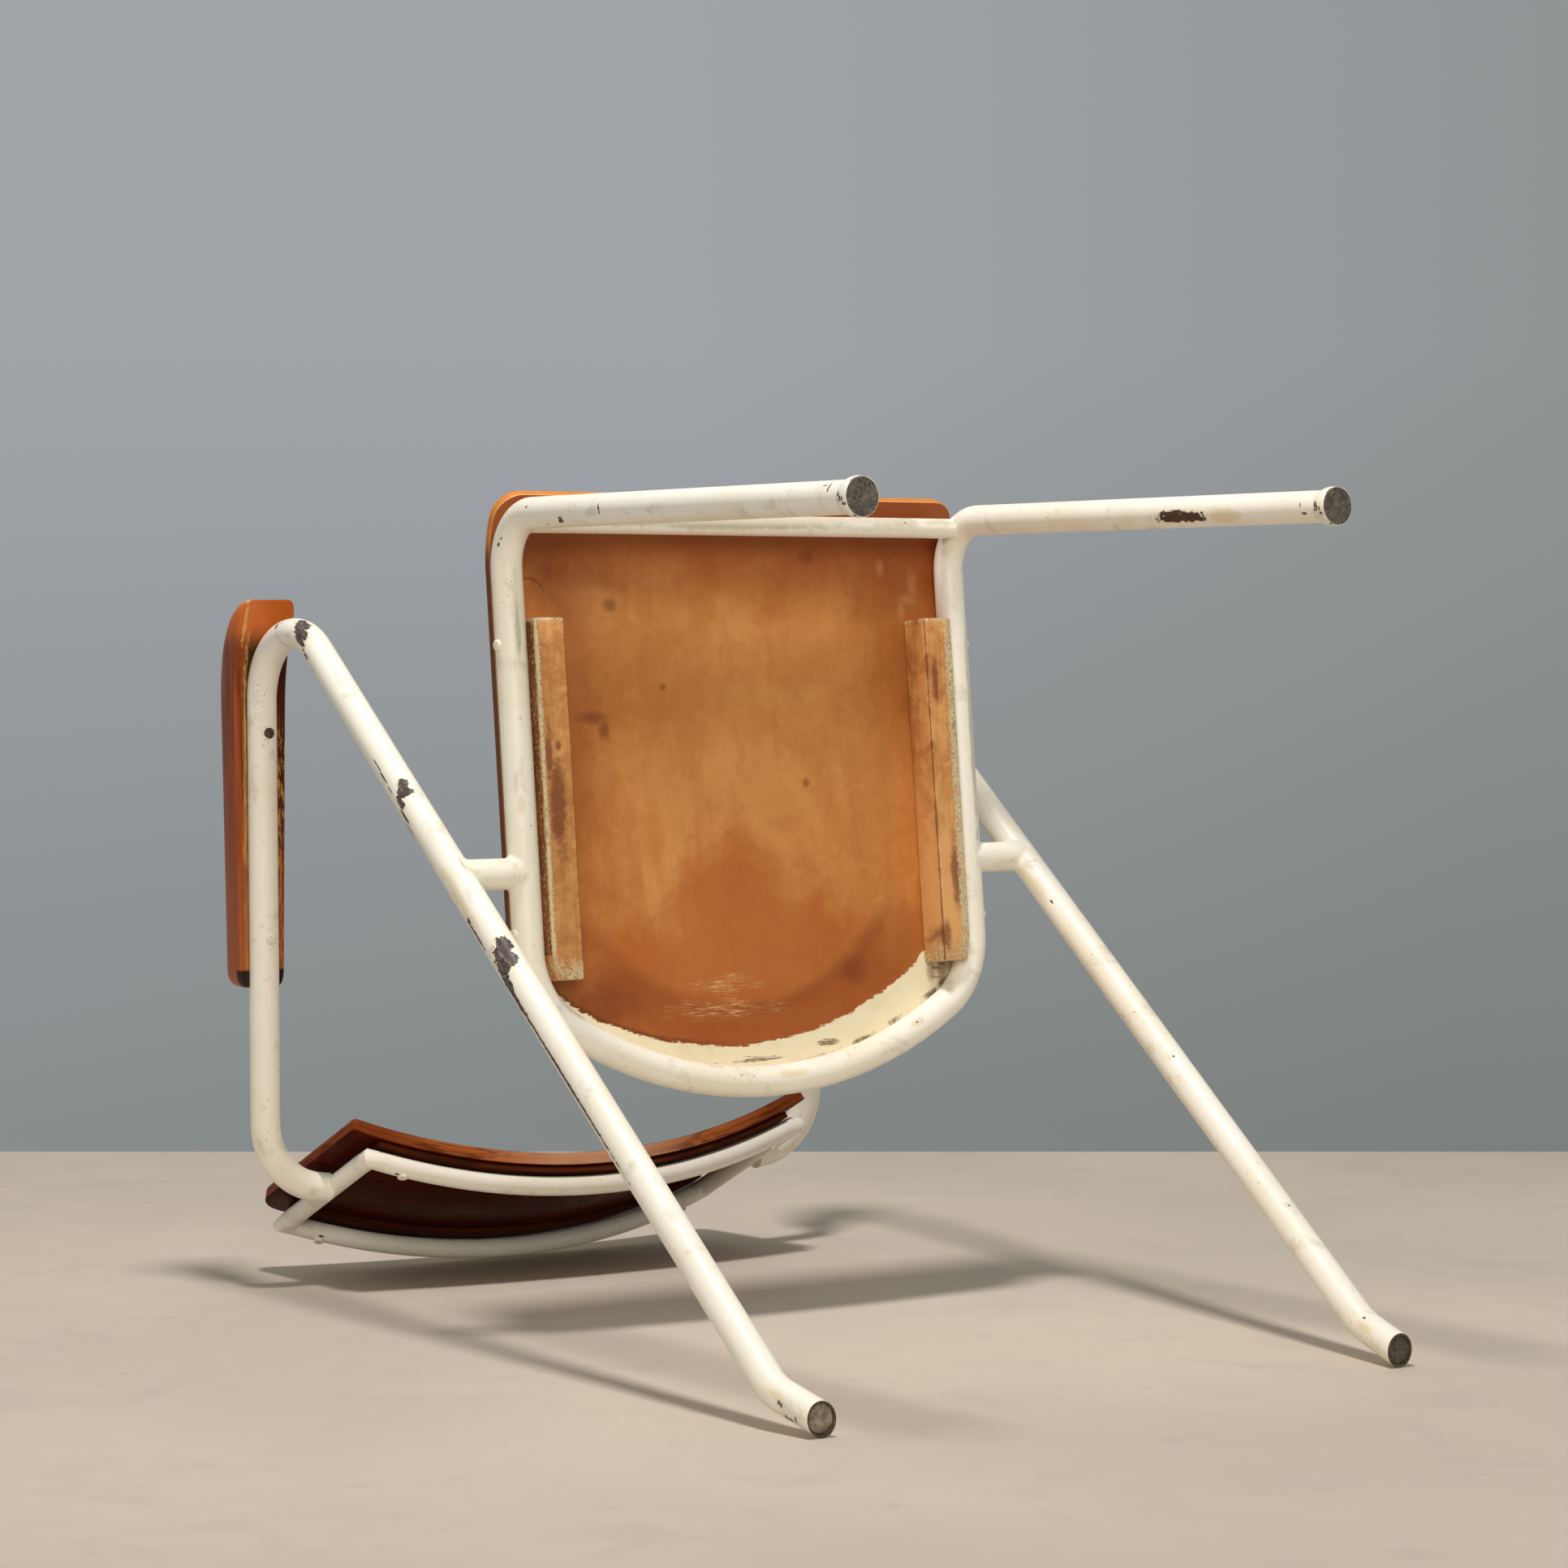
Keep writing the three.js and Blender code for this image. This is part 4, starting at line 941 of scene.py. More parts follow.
# %% Stack and bend the layers
def bent_sheet(low_edge, high_edge, layers, bend):
    """Points, unbent places and faces of a sheet whose outline is two edges with their points in pairs."""
    outline = [Vector(p) for p in low_edge] + [Vector(p) for p in reversed(high_edge)]
    count, rings = len(outline), []
    for height, inset in layers:
        flat = [Vector((p.x, p.y, height)) for p in drawn_in(outline, inset)]
        rings.append([(bend(p.x, p.y, p.z), p) for p in flat])
    points, unbent, faces = skin(rings, False, False)
    top = (len(rings) - 1) * count
    for i in range(len(low_edge) - 1):
        facing = count - 1 - i
        faces.append((i, facing, facing - 1, i + 1))
        faces.append((top + i, top + i + 1, top + facing - 1, top + facing))
    return points, unbent, faces


test_layers = rounded_layers(10, 1, 2)
test_square = bent_sheet([(0, 0), (50, 0)], [(0, 50), (50, 50)], test_layers, lambda *place: Vector(place))
print("a flat test square has", len(test_square[2]), "faces")

# %% [markdown]
# ## The seat's plywood
# Seen from below, the seat is what fills the picture: orange-brown lacquer over faint grain, with a
# dark stain spreading in from the rear, a painted shadow of the cross rail across the front, darker
# clouds near the sides, a thin ring left by something wet, and scratches. Along the bow the enamel was
# brushed onto the wood in a cream band with a torn edge, and a dark line runs beside the tube. The upper
# side is lacquered too, paler where it is worn.
#
# One painted picture could hold all this. But each mark lies in a known place, so the finish works in the
# flat sheet's own measure: across the seat, back from its front and up from its underside. On the rounded
# edge of the sheet, which the finish finds by its height, the plies show as thin stripes, and along the
# sides the edge is darkened with painted shade.

# %% Helpers for wood
right_through = 90


def grain(wood, across, along, height=1.0):
    """Fine streaks: noise stretched along one direction of the unbent sheet."""
    return wood.cloud(wood.scaled(wood.unbent, across, along, height), 1.0, 6, 0.6, 1.2)


def stain(wood, colour, spots, shade, ragged, strength=1.0, soft=0.6):
    """Mix a shade into a colour over oval spots: (centre, size) in mm on the unbent piece."""
    nearest = wood.torn(wood.nearest(spots), ragged, 1.6)
    return wood.tint(colour, shade, nearest, 1 - soft, 1 + soft, strength, 0)


def ovals(*places):
    """Spots that go right through a sheet: (across, back, half width, half length) in mm."""
    return [((x, y, 0), (wide, long, right_through)) for x, y, wide, long in places]


print("an oval spot in full:", ovals((0, 335, 108, 74))[0])

# %% The underside's lacquer and its stains
side_stains = ovals((-158, 150, 44, 150), (158, 70, 40, 70))
wet_stains = ovals((0, 335, 108, 74), (-8, 268, 46, 38), (-80, 325, 56, 44), (80, 325, 56, 42))
rim_stains = ovals((-128, 340, 34, 15), (92, 328, 10, 9))
wet_rim = ovals((-5, 235, 140, 115))


def lacquered_underside(ply, noises):
    """Clouded lacquer with its broad stains."""
    streak, ragged, _ = noises
    broad = ply.cloud(ply.unbent, 7, 4, 0.6, 0.8)
    mottled = ply.cloud(ply.unbent, 46, 5, 0.7, 1.4)
    colour = ply.tint(paint(202, 130, 64), paint(220, 154, 86), broad, 0.35, 0.68)
    colour = ply.tint(colour, paint(184, 110, 52), grain(ply, 34, 5), 0.42, 0.66, 0, 0.35)
    colour = ply.tint(colour, paint(178, 104, 50), mottled, 0.5, 0.68, 0, 0.3)
    colour = ply.tint(colour, paint(224, 160, 100), mottled, 0.3, 0.46, 0.3, 0)
    colour = ply.tint(colour, paint(168, 96, 42), streak, 0.35, 0.7, 0.05, 0)
    colour = ply.tint(colour, paint(172, 100, 44), ragged, 0.5, 0.75, 0, 0.25)
    colour = stain(ply, colour, side_stains, paint(156, 84, 34), ragged, 0.7, 0.7)
    return stain(ply, colour, wet_stains, paint(178, 94, 38), ragged, 0.72, 0.42)


def rail_shadow_and_rim_stains(ply, colour, noises):
    """A painted shadow of the cross rail over the front, and the dark rim that the wet stain left."""
    _, ragged, _ = noises
    across, back = ply.measure("X"), ply.measure("Y")
    # Painted shadow of the cross rail: the front of the underside is darkened.
    front = ply.plus(back, ply.times(ragged, 0.05))
    colour = ply.tint(colour, paint(148, 70, 26), front, 0.034, 0.105, 0.82, 0)
    rim = ply.torn(ply.nearest(wet_rim), ragged, 0.12)
    rear = ply.step(back, 0.262, 0.300)
    outside = ply.times(ply.step(rim, 0.94, 1.06, 0, 0.5), rear)
    line = ply.times(ply.step(ply.gap(rim, 1), 0.01, 0.08, 0.24, 0), rear)
    line = ply.times(line, ply.step(across, -0.10, 0.02, 0.35, 1))
    colour = ply.mix(line, ply.mix(outside, colour, paint(150, 68, 26)), paint(92, 46, 24))
    return stain(ply, colour, rim_stains, paint(108, 50, 20), ragged, 0.5, 0.9)


print("broad stains on the seat:", len(side_stains + wet_stains + rim_stains + wet_rim))

# %% Its small marks
seat_spots = ovals((-101, 62, 5, 4), (72, 26, 6, 5), (-122, 141, 11, 4), (-112, 150, 4, 6), (60, 190, 3, 3),
                   (-60, 120, 2.5, 2))
seat_smears = ovals((167, 46, 4, 9), (162, 57, 7, 4), (156, 64, 3, 7), (138, 34, 3, 5))
seat_scratches = ovals((-22, 332, 30, 6), (-26, 351, 46, 8))
wet_ring = ovals((-169, 56, 13, 13))


def small_marks(ply, colour, noises):
    """Spots, a ring, pale smears and pale scratches."""
    _, ragged, speck = noises
    torn = ply.cloud(ply.unbent, 120, 4, 0.7, 0.9)
    colour = stain(ply, colour, seat_spots, paint(112, 56, 26), torn, 0.6, 0.8)
    ring = ply.step(ply.gap(ply.nearest(wet_ring), 1), 0.02, 0.09, 0.6, 0)
    ring = ply.times(ring, ply.step(ply.measure("Y"), 0.048, 0.058, 1, 0))
    colour = ply.mix(ring, colour, paint(92, 44, 22))
    colour = stain(ply, colour, seat_smears, paint(206, 144, 92), torn, 0.42, 0.9)
    there = ply.torn(ply.nearest(seat_scratches), ragged, 3)
    there = ply.step(ply.plus(there, ply.times(speck, 0.8)), 0.6, 1.7, 1, 0)
    hairs = ply.cloud(ply.scaled(ply.unbent, 50, 1000, 1), 1.0, 4, 0.8)
    hairs = ply.times(ply.step(hairs, 0.49, 0.58, 0, 0.8), there)
    colour = ply.mix(hairs, colour, paint(226, 178, 124))
    return ply.tint(colour, paint(96, 50, 26), speck, 0.74, 0.8, 0, 0.45)


print("small marks on the seat:", len(seat_spots + seat_smears + seat_scratches + wet_ring))

# %% The upper side and the edge
ply_width = 0.00155


def seat_top(ply, colour, noises):
    """The upper side: orange-brown lacquer, worn paler where people sit."""
    streak, ragged, _ = noises
    top = ply.tint(paint(160, 84, 36), paint(188, 108, 50), streak, 0.3, 0.7)
    worn = ply.plus(ply.reach((0, 190, 9), (150, 130, right_through)), ply.times(ragged, 0.9))
    top = ply.tint(top, paint(204, 132, 72), worn, 0.7, 1.6, 0.5, 0)
    return ply.tint(colour, top, ply.measure("Z"), 0.0080, 0.0084)


def seat_edge_plies(ply, colour, noises):
    """Light and dark plies on the rounded edge: orange in front, darkened by painted shade along the sides.
    """
    streak = noises[0]
    height, back = ply.measure("Z"), ply.measure("Y")
    stripes = ply.reckon("PINGPONG", ply.plus(height, 0.0002), ply_width)
    dark = ply.step(stripes, 0.0005, 0.0011, 0.4, 0)
    edge = ply.mix(dark, ply.mix(streak, paint(232, 148, 56), paint(206, 122, 42)), paint(160, 88, 34))
    edge = ply.tint(edge, paint(226, 178, 120), height, 0.0002, 0.0022, 0.7, 0)
    # Painted shade: the side edges go dark from a little behind the front.
    edge = ply.tint(edge, paint(64, 26, 14), back, 0.012, 0.034, 0, 0.85)
    on_edge = ply.times(ply.step(height, 0.0002, 0.0006), ply.step(height, 0.0086, 0.0091, 1, 0))
    return ply.mix(on_edge, colour, edge)


print("one ply shows", ply_width * 1000, "mm wide")

# %% The stray enamel
band_marks = [((172, 332, 0), (4, 14, 4)), ((163, 330, 0), (4, 7, 4)), ((66, 378, 0), (8, 2, 4))]
band_threads = [((-10, 386.5, 0), (36, 2.2, 4)), ((170, 333, 0), (7, 16, 4)), ((66, 378, 0), (10, 3, 4))]
outer_corner, whole_height, beside_tube_width = ((162, 336, 0), (15, 21, right_through)), 1e6, 10.5
band_bow = ((-15.5, 93.7, 0), (282.3, 282.3, whole_height))
tube_side = ((0, bow_centre, 0), (bow_radius - beside_tube_width, bow_radius - beside_tube_width, whole_height))


def cream_band(ply, noises, from_bow, wobble):
    """Where the brush went over the wood, and in what cream."""
    _, ragged, _ = noises
    corner = ply.plus(ply.reach(*outer_corner), ply.times(wobble, 9))
    band = ply.reckon("MAXIMUM", ply.step(from_bow, 1.0, 1.004), ply.step(corner, 0.96, 1.02, 1, 0))
    return band, ply.tint(paint(250, 237, 204), paint(234, 218, 178), ragged, 0.45, 0.7, 0, 0.5)


def seat_overspray(ply, colour, noises):
    """Cream enamel that strayed from the bow onto the wood, with soiled edges and a dark line beside the
    tube, underneath only.
    """
    _, ragged, speck = noises
    across, under = ply.measure("X"), ply.step(ply.measure("Z"), 0.0001, 0.0004, 1, 0)
    smear = ply.cloud(ply.scaled(ply.unbent, 70, 620, 1), 1.0, 3, 0.7)
    wobble = ply.torn(ply.torn(ply.torn(0, ragged, 0.03), speck, 0.012), smear, 0.02)
    from_bow = ply.plus(ply.reach(*band_bow), wobble)
    band, cream = cream_band(ply, noises, from_bow, wobble)
    band = ply.times(band, under)
    soiled = ply.step(ply.gap(from_bow, 0.999), 0.001, 0.012, 0.7, 0)
    soiled = ply.times(ply.times(soiled, ply.step(across, -0.09, 0.02, 1, 0)), under)
    colour = ply.mix(soiled, colour, paint(104, 50, 22))
    colour = stain(ply, ply.mix(band, colour, cream), band_marks, paint(150, 116, 76), speck, 0.6, 0.6)
    # A dark line on the wood just inside the bow tube.
    dark_beside_tube = ply.times(ply.step(ply.reach(*tube_side), 0.993, 1.001, 0, 0.8), ply.step(ragged, 0.44, 0.54))
    dark_beside_tube = ply.times(ply.times(dark_beside_tube, under), ply.step(across, 0.03, 0.09))
    colour = ply.mix(dark_beside_tube, colour, paint(92, 70, 44))
    thread = ply.cloud(ply.scaled(ply.unbent, 14, 190, 60), 1.0, 4, 0.6, 0.3)
    thread = ply.step(ply.gap(thread, 0.5), 0.008, 0.03, 0.8, 0)
    thread = ply.times(thread, ply.step(ply.nearest(band_threads), 0.9, 1.1, 1, 0))
    return ply.mix(thread, colour, paint(84, 60, 36)), band


print("marks on the cream band:", len(band_marks + band_threads))

# %% The whole seat finish
def seat_finish():
    ply = Finish("seat_plywood", gloss=0.22)
    ply.clear_coat(0.05, 0.3)
    streak, ragged = grain(ply, 210, 9), ply.cloud(ply.unbent, 26, 5, 0.65, 0.5)
    noises = (streak, ragged, ply.cloud(ply.unbent, 240, 3, 0.6))
    colour = lacquered_underside(ply, noises)
    for marks in (rail_shadow_and_rim_stains, small_marks, seat_top, seat_edge_plies):
        colour = marks(ply, colour, noises)
    colour, band = seat_overspray(ply, colour, noises)
    height = ply.plus(ply.times(streak, 0.15), ply.times(band, 0.8))
    return ply.done(colour, ply.step(ragged, 0.3, 0.75, 0.42, 0.62), height, 0.0002)


seat_material = seat_finish()
print("seat finish nodes:", len(seat_material.node_tree.nodes))

# %% [markdown]
# ## The seat panel
# The panel laps the rails by one width all round and rolls down over the front in a waterfall: behind a
# line it is flat, and in front of it the sheet is wound about a level axis below. Subdividing a coarse
# cage would give a soft shape, but its edge would stray from the tube, which has true arcs.

# %% Outline the seat
seat_thickness, seat_lap, seat_clear = 9.3, 6.5, 0.3
fall_start, fall_radius, fall_turn = 38, 79, math.radians(40)
seat_corner = 20


def seat_edge():
    """(back from the front, out from the middle) along one edge of the seat, front to rear."""
    half, front = rail_half_span + seat_lap, fall_start - fall_radius * fall_turn
    edge = []
    for i in range(8):
        a = math.pi / 2 * i / 8
        edge.append((front + seat_corner * (1 - math.cos(a)), half - seat_corner * (1 - math.sin(a))))
    straight = front + seat_corner
    edge += [(straight + (fall_start - straight) * i / 12, half) for i in range(12)]
    edge += [(fall_start + (rail_straight - fall_start) * i / 6, half) for i in range(6)]
    corner, wide = bow_corner_radius + seat_lap, bow_radius + seat_lap
    for i in range(14):
        a = bow_turn * i / 14
        edge.append((rail_straight + corner * math.sin(a), bow_corner_out + corner * math.cos(a)))
    for i in range(24):
        a = bow_turn + (math.pi / 2 - bow_turn) * i / 24.5
        edge.append((bow_centre + wide * math.sin(a), wide * math.cos(a)))
    return edge


edge = seat_edge()
print("seat outline:", 2 * len(edge), "points,", round(edge[-1][0] - edge[0][0]), "mm from front to rear")

# %% Bend the seat
def bend_seat(x, y, height):
    under = main_radius + seat_clear
    if y >= fall_start:
        return on_seat(x, y, under + height)
    a, r = (fall_start - y) / fall_radius, fall_radius + height
    return on_seat(x, fall_start - r * math.sin(a), under - fall_radius + r * math.cos(a))


right_edge, left_edge = [(x, y) for y, x in edge], [(-x, y) for y, x in edge]
seat_layers = rounded_layers(seat_thickness, low_round=0.8, high_round=5)
seat_shape = bent_sheet(right_edge, left_edge, seat_layers, bend_seat)
make_piece("seat", seat_shape, seat_material, ["seat_panel"], sharp=60)
print("seat:", len(seat_layers), "layers,", len(seat_shape[2]), "faces")

# %% [markdown]
# ## The battens under the seat
# Two square strips of wood are screwed between the rails and the seat. Their outer faces, edges and
# ends carry smears of cream from the brush. Each is a rounded bar; where the bow begins to close in, the
# outer rear corner is trimmed so that the batten stays clear of the tube. The two differ in colour and
# dirt, so each gets its own finish from one function.

# %% The battens' wood and the brushed cream
batten_stains = {
    -1: [((-170.5, 204, -14), (6, 30, 20)), ((-168, 162, -14), (2.5, 3.5, 20)),
         ((-176, 168, -14), (3, 16, 20))],
    1: [((172, 262, -14), (4, 26, 20)), ((164, 118, -14), (2.5, 16, 20)), ((160, 305, -14), (4, 9, 20))],
}
batten_woods = {-1: (paint(188, 127, 71), paint(218, 158, 95)), 1: (paint(194, 126, 68), paint(224, 164, 98))}
batten_cream_width = {-1: 1.8, 1: 6.5}
batten_hatching = {-1: 0, 1: 0.75}
whole_length = 1e6


def batten_wood(strip, side, streak, ragged):
    """The bare strip. Side is which way the rail lies."""
    colour = strip.mix(strip.step(ragged, 0.35, 0.65), *batten_woods[side])
    colour = strip.tint(colour, paint(160, 96, 46), streak, 0.3, 0.6, 0.4, 0)
    if side > 0:
        colour = strip.tint(colour, paint(236, 180, 114), strip.measure("Y"), 0.16, 0.28, 0, 0.7)
    return stain(strip, colour, batten_stains[side], paint(120, 62, 36), ragged, 0.75, 0.5)


def batten_cream(strip, side, ragged, speck):
    """How much brushed cream lies at a place: along the outer lower edge, and at both ends."""
    outer_edge = strip.reach((side * 181.5, 0, -14), (1, whole_length, 1))
    outer_edge = strip.torn(strip.torn(outer_edge, ragged, 8), speck, 7)
    wide = batten_cream_width[side]
    cream = strip.step(outer_edge, wide, wide + 1, 0.9, 0)
    cream = strip.times(cream, strip.step(ragged, 0.34, 0.5, 0.35, 1))
    back = strip.measure("Y")
    ends = strip.reckon("MAXIMUM", strip.step(back, 0.0735, 0.077, 1, 0), strip.step(back, 0.304, 0.322))
    ends = strip.times(ends, strip.step(strip.plus(speck, ragged), 0.92, 1.04, 0, 0.85))
    return strip.reckon("MAXIMUM", cream, ends)


print("stains on the battens:", sum(len(spots) for spots in batten_stains.values()))

# %% The battens' finish
def batten_finish(name, side):
    strip = Finish(name, gloss=0.3)
    streak = grain(strip, 200, 14, 200)
    ragged = strip.cloud(strip.unbent, 60, 5, 0.7, 0.6)
    speck = strip.cloud(strip.unbent, 420, 3, 0.6)
    colour = batten_wood(strip, side, streak, ragged)
    outer_face = strip.step(strip.times(strip.measure("X"), side), 0.1811, 0.1814)
    smeared = strip.tint(paint(120, 70, 34), paint(164, 102, 54), streak, 0.3, 0.7)
    smeared = strip.tint(smeared, paint(206, 180, 134), speck, 0.52, 0.66, 0, 0.7)
    colour = strip.mix(outer_face, colour, smeared)
    hatch = strip.gap(strip.cloud(strip.scaled(strip.unbent, 620, 300, 300), 1.0, 2, 0.5), 0.5)
    hatch = strip.step(hatch, 0.01, 0.05, batten_hatching[side], 0)
    cream = batten_cream(strip, side, ragged, speck)
    colour = strip.mix(cream, colour, strip.mix(hatch, paint(222, 206, 166), paint(96, 84, 58)))
    inner_edge = strip.torn(strip.reach((side * 157.2, 0, -13.6), (1, whole_length, 1)), ragged, 2.5)
    colour = strip.tint(colour, paint(96, 50, 26), inner_edge, 0.5, 1.1, 0.75, 0)
    return strip.done(colour, 0.6, strip.plus(streak, strip.times(cream, 0.6)), 0.0002)


batten_materials = {side: batten_finish(f"batten_wood_{name}", side) for side, name in both_sides}
print("batten finishes:", [material.name for material in batten_materials.values()])

# %% A batten's section and length
batten_front, batten_rear, batten_width, batten_low, batten_high = 73, 324, 24.5, -14, 11
batten_outer, batten_round, batten_clear = rail_half_span - main_radius - 0.5, 1.6, 0.4


def bar_section(low_x, high_x, low_z, high_z, round_by):
    """A rounded rectangle as (x, z) points."""
    left, right, bottom, top = low_x + round_by, high_x - round_by, low_z + round_by, high_z - round_by
    section = []
    for x, z, start in ((right, top, 0), (left, top, 90), (left, bottom, 180), (right, bottom, 270)):
        for k in range(5):
            a = math.radians(start + 90 * k / 4)
            section.append((x + round_by * math.cos(a), z + round_by * math.sin(a)))
    return section


def clear_of_bow(x, y):
    """The widest that a batten may be at a distance back, beside the bow's corner."""
    if y <= rail_straight:
        return x
    room, past = bow_corner_radius - main_radius - batten_clear, y - rail_straight
    return min(x, bow_corner_out + math.sqrt(max(room ** 2 - past ** 2, 0)))


def batten_stations():
    """(distance back, how much narrower) pairs: both ends are eased off."""
    front, run = batten_front + 1.2, batten_rear - batten_front - 2.4
    return [(batten_front, 1.2), (batten_front + 0.3, 0.5), *((front + run * i / 14, 0) for i in range(15)),
            (batten_rear - 0.3, 0.5), (batten_rear, 1.2)]


print("a batten has sections at", len(batten_stations()), "places over", batten_rear - batten_front, "mm")

# %% The battens
middle_x, middle_z = batten_outer - batten_width / 2, (batten_low + batten_high) / 2
section = bar_section(batten_outer - batten_width, batten_outer, batten_low, batten_high, batten_round)
for side, side_name in both_sides:
    rings = []
    for y, shrink in batten_stations():
        ring = []
        for x, z in section:
            x += (middle_x - x) * shrink / 12
            z += (middle_z - z) * shrink / 12
            place = Vector((side * clear_of_bow(x, y), y, z))
            ring.append((on_seat(*place), place))
        rings.append(ring if side < 0 else ring[::-1])
    make_piece(f"batten_{side_name}", skin(rings), batten_materials[side],
               [f"seat_batten_{side_name}"])
    print(side_name, "batten:", len(rings), "rings of", len(section), "points")

# %% [markdown]
# ## Dark lacquered plywood for the back
# The back is the same kind of sheet under dark red-brown lacquer. Age has dulled it, so only a thin clear
# coat with a faint sheen is left. Along its edges the lacquer has worn to orange, with wear and a painted
# highlight palest in the middle of the chair. One flat brown would look like plastic, so the streaks of
# the grain run through it.

# %% The back's finish
def lacquer(name, deep, warm, edge_colour, wear_and_highlight, thickness):
    wood = Finish(name, gloss=0.03)
    wood.clear_coat(0.02, 0.14)
    streak = grain(wood, 14, 240, 240)
    broad = wood.cloud(wood.unbent, 16, 4, 0.6, 0.7)
    speck = wood.cloud(wood.unbent, 300, 3, 0.6)
    worn = wood.cloud(wood.scaled(wood.unbent, 20, 60, 170), 1.0, 4, 0.6, 0.8)
    height, outward = wood.measure("Z"), wood.reckon("ABSOLUTE", wood.measure("X"))
    colour = wood.tint(deep, warm, streak, 0.3, 0.72)
    colour = wood.tint(colour, deep, broad, 0.5, 0.75, 0, 0.5)
    from_middle, half = wood.gap(height, MM * thickness / 2), thickness / 2
    on_edge = wood.step(from_middle, MM * (half - 0.9), MM * (half - 0.2), 1, 0)
    stripes = wood.reckon("PINGPONG", height, 0.0026)
    edge = wood.tint(edge_colour, warm, stripes, 0.0004, 0.0014, 0.3, 0)
    edge = wood.tint(edge, deep, worn, 0.48, 0.64, 0, 0.7)
    # Wear and a painted highlight: the edge turns paler towards the middle of the chair.
    edge = wood.tint(edge, wear_and_highlight, outward, 0.02, 0.11, 0.6, 0)
    edge = wood.tint(edge, warm, outward, 0.11, 0.19, 0, 0.7)
    colour = wood.mix(on_edge, colour, edge)
    colour = wood.tint(colour, paint(190, 150, 104), speck, 0.72, 0.8, 0, 0.5)
    return wood.done(colour, wood.step(broad, 0.3, 0.7, 0.22, 0.38), streak, 0.00008)


back_thickness, strip_thickness = 10.5, 5
back_material = lacquer("back_plywood", paint(50, 9, 2), paint(84, 24, 7), paint(176, 98, 48),
                        paint(222, 172, 132), back_thickness)
strip_material = lacquer("back_batten_wood", paint(42, 15, 6), paint(66, 26, 11), paint(78, 33, 15),
                         paint(100, 44, 20), strip_thickness)
print("back finish nodes:", len(back_material.node_tree.nodes))

# %% [markdown]
# ## The curved back
# The panel and its two battens are bent round the same upright axis as the loop, each at its own distance
# from it. Their length is measured along the bend, as on the flat sheet. Scaling one sheet to make the
# next would spoil its thickness.

# %% Outline a sheet of the back
clear = 0.3
strip_radius = loop_radius - thin_radius - clear
panel_radius = strip_radius - strip_thickness - clear
half_chord, back_low, back_high = 203.6, -10, loop_rise + 9
back_low_corner, back_high_corner = 3, 15
strip_half_length, strip_height, strip_lows = 187, 20, {"lower": -8, "upper": loop_rise - 13}


def corner_inset(distance, radius):
    """How far a rounded corner draws an edge in, at a distance from the end."""
    short = max(radius - distance, 0)
    return radius - math.sqrt(radius ** 2 - short ** 2)


def back_sheet(half_length, low, high, rear_radius, layers, low_corner=0.0, high_corner=0.0):
    """A curved sheet with rounded corners, its points in pairs along the bend."""
    fine = [high_corner * (1 - math.cos(math.pi / 2 * i / 8)) for i in range(8)] if high_corner else []
    fine += [high_corner + (half_length - high_corner) * i / 24 for i in range(25)]
    lower = [(d - half_length, low + corner_inset(d, low_corner)) for d in fine]
    upper = [(d - half_length, high - corner_inset(d, high_corner)) for d in fine]
    lower += [(-x, y) for x, y in lower[-2::-1]]
    upper += [(-x, y) for x, y in upper[-2::-1]]
    return bent_sheet(lower, upper, layers,
                      lambda x, y, h: back_frame @ round_back(x / rear_radius, rear_radius - h, y))


print("the panel bends at", round(panel_radius, 1), "mm, and its battens at", round(strip_radius, 1), "mm")

# %% Panel and battens of the back
half_length = panel_radius * math.asin(half_chord / panel_radius)
back_layers, strip_layers = rounded_layers(back_thickness, 1, 2), rounded_layers(strip_thickness, 0.5, 0.5, 2)
back_shape = back_sheet(half_length, back_low, back_high, panel_radius, back_layers, back_low_corner,
                        back_high_corner)
make_piece("curved_back", back_shape, back_material, ["back_panel"], sharp=60)
for level, low in strip_lows.items():
    strip_shape = back_sheet(strip_half_length, low, low + strip_height, strip_radius, strip_layers)
    make_piece(f"strip_{level}", strip_shape, strip_material, [f"back_batten_{level}"],
               sharp=60)
print("back:", round(2 * half_length), "mm along the bend")

# %% [markdown]
# ## Armrests
# Each armrest is carved from a lacquered block: rounded on top, narrower to the rear, and grooved to sit
# over the arm tube. Its nose curls down over the tube's front bend. It is lofted through sections along
# the arm. The groove is cut by the tube itself with a boolean, since only that gives a groove that
# follows the bend exactly.

# %% The armrest's sizes and its own frame
rest_front, rest_length, rest_height, rest_lift = 31.5, 282, 27, 2
rest_front_half, rest_rear_half, rest_top_round = 23, 18.5, 11
nose_drop, nose_round, nose_edge, nose_plan, tail_round = 17, 44, 7, 14, 10
eased_edge = 2


def arm_frame(side):
    """The armrest's own frame: origin at the arm's front corner, Y along the arm, Z up."""
    front, rear = mirrored(arm_front, side), mirrored(arm_rear, side)
    run = (rear - front).normalized()
    across = run.cross(Vector((0, 0, 1))).normalized()
    rise = across.cross(run)
    return Matrix.Translation(front) @ Matrix((across, run, rise)).transposed().to_4x4()


print("the right armrest's frame stands at", [round(v, 1) for v in arm_frame(1).translation])

# %% Sections of an armrest
def rounded_end(distance, length):
    return math.sqrt(1 - max(1 - distance / length, 0) ** 2)


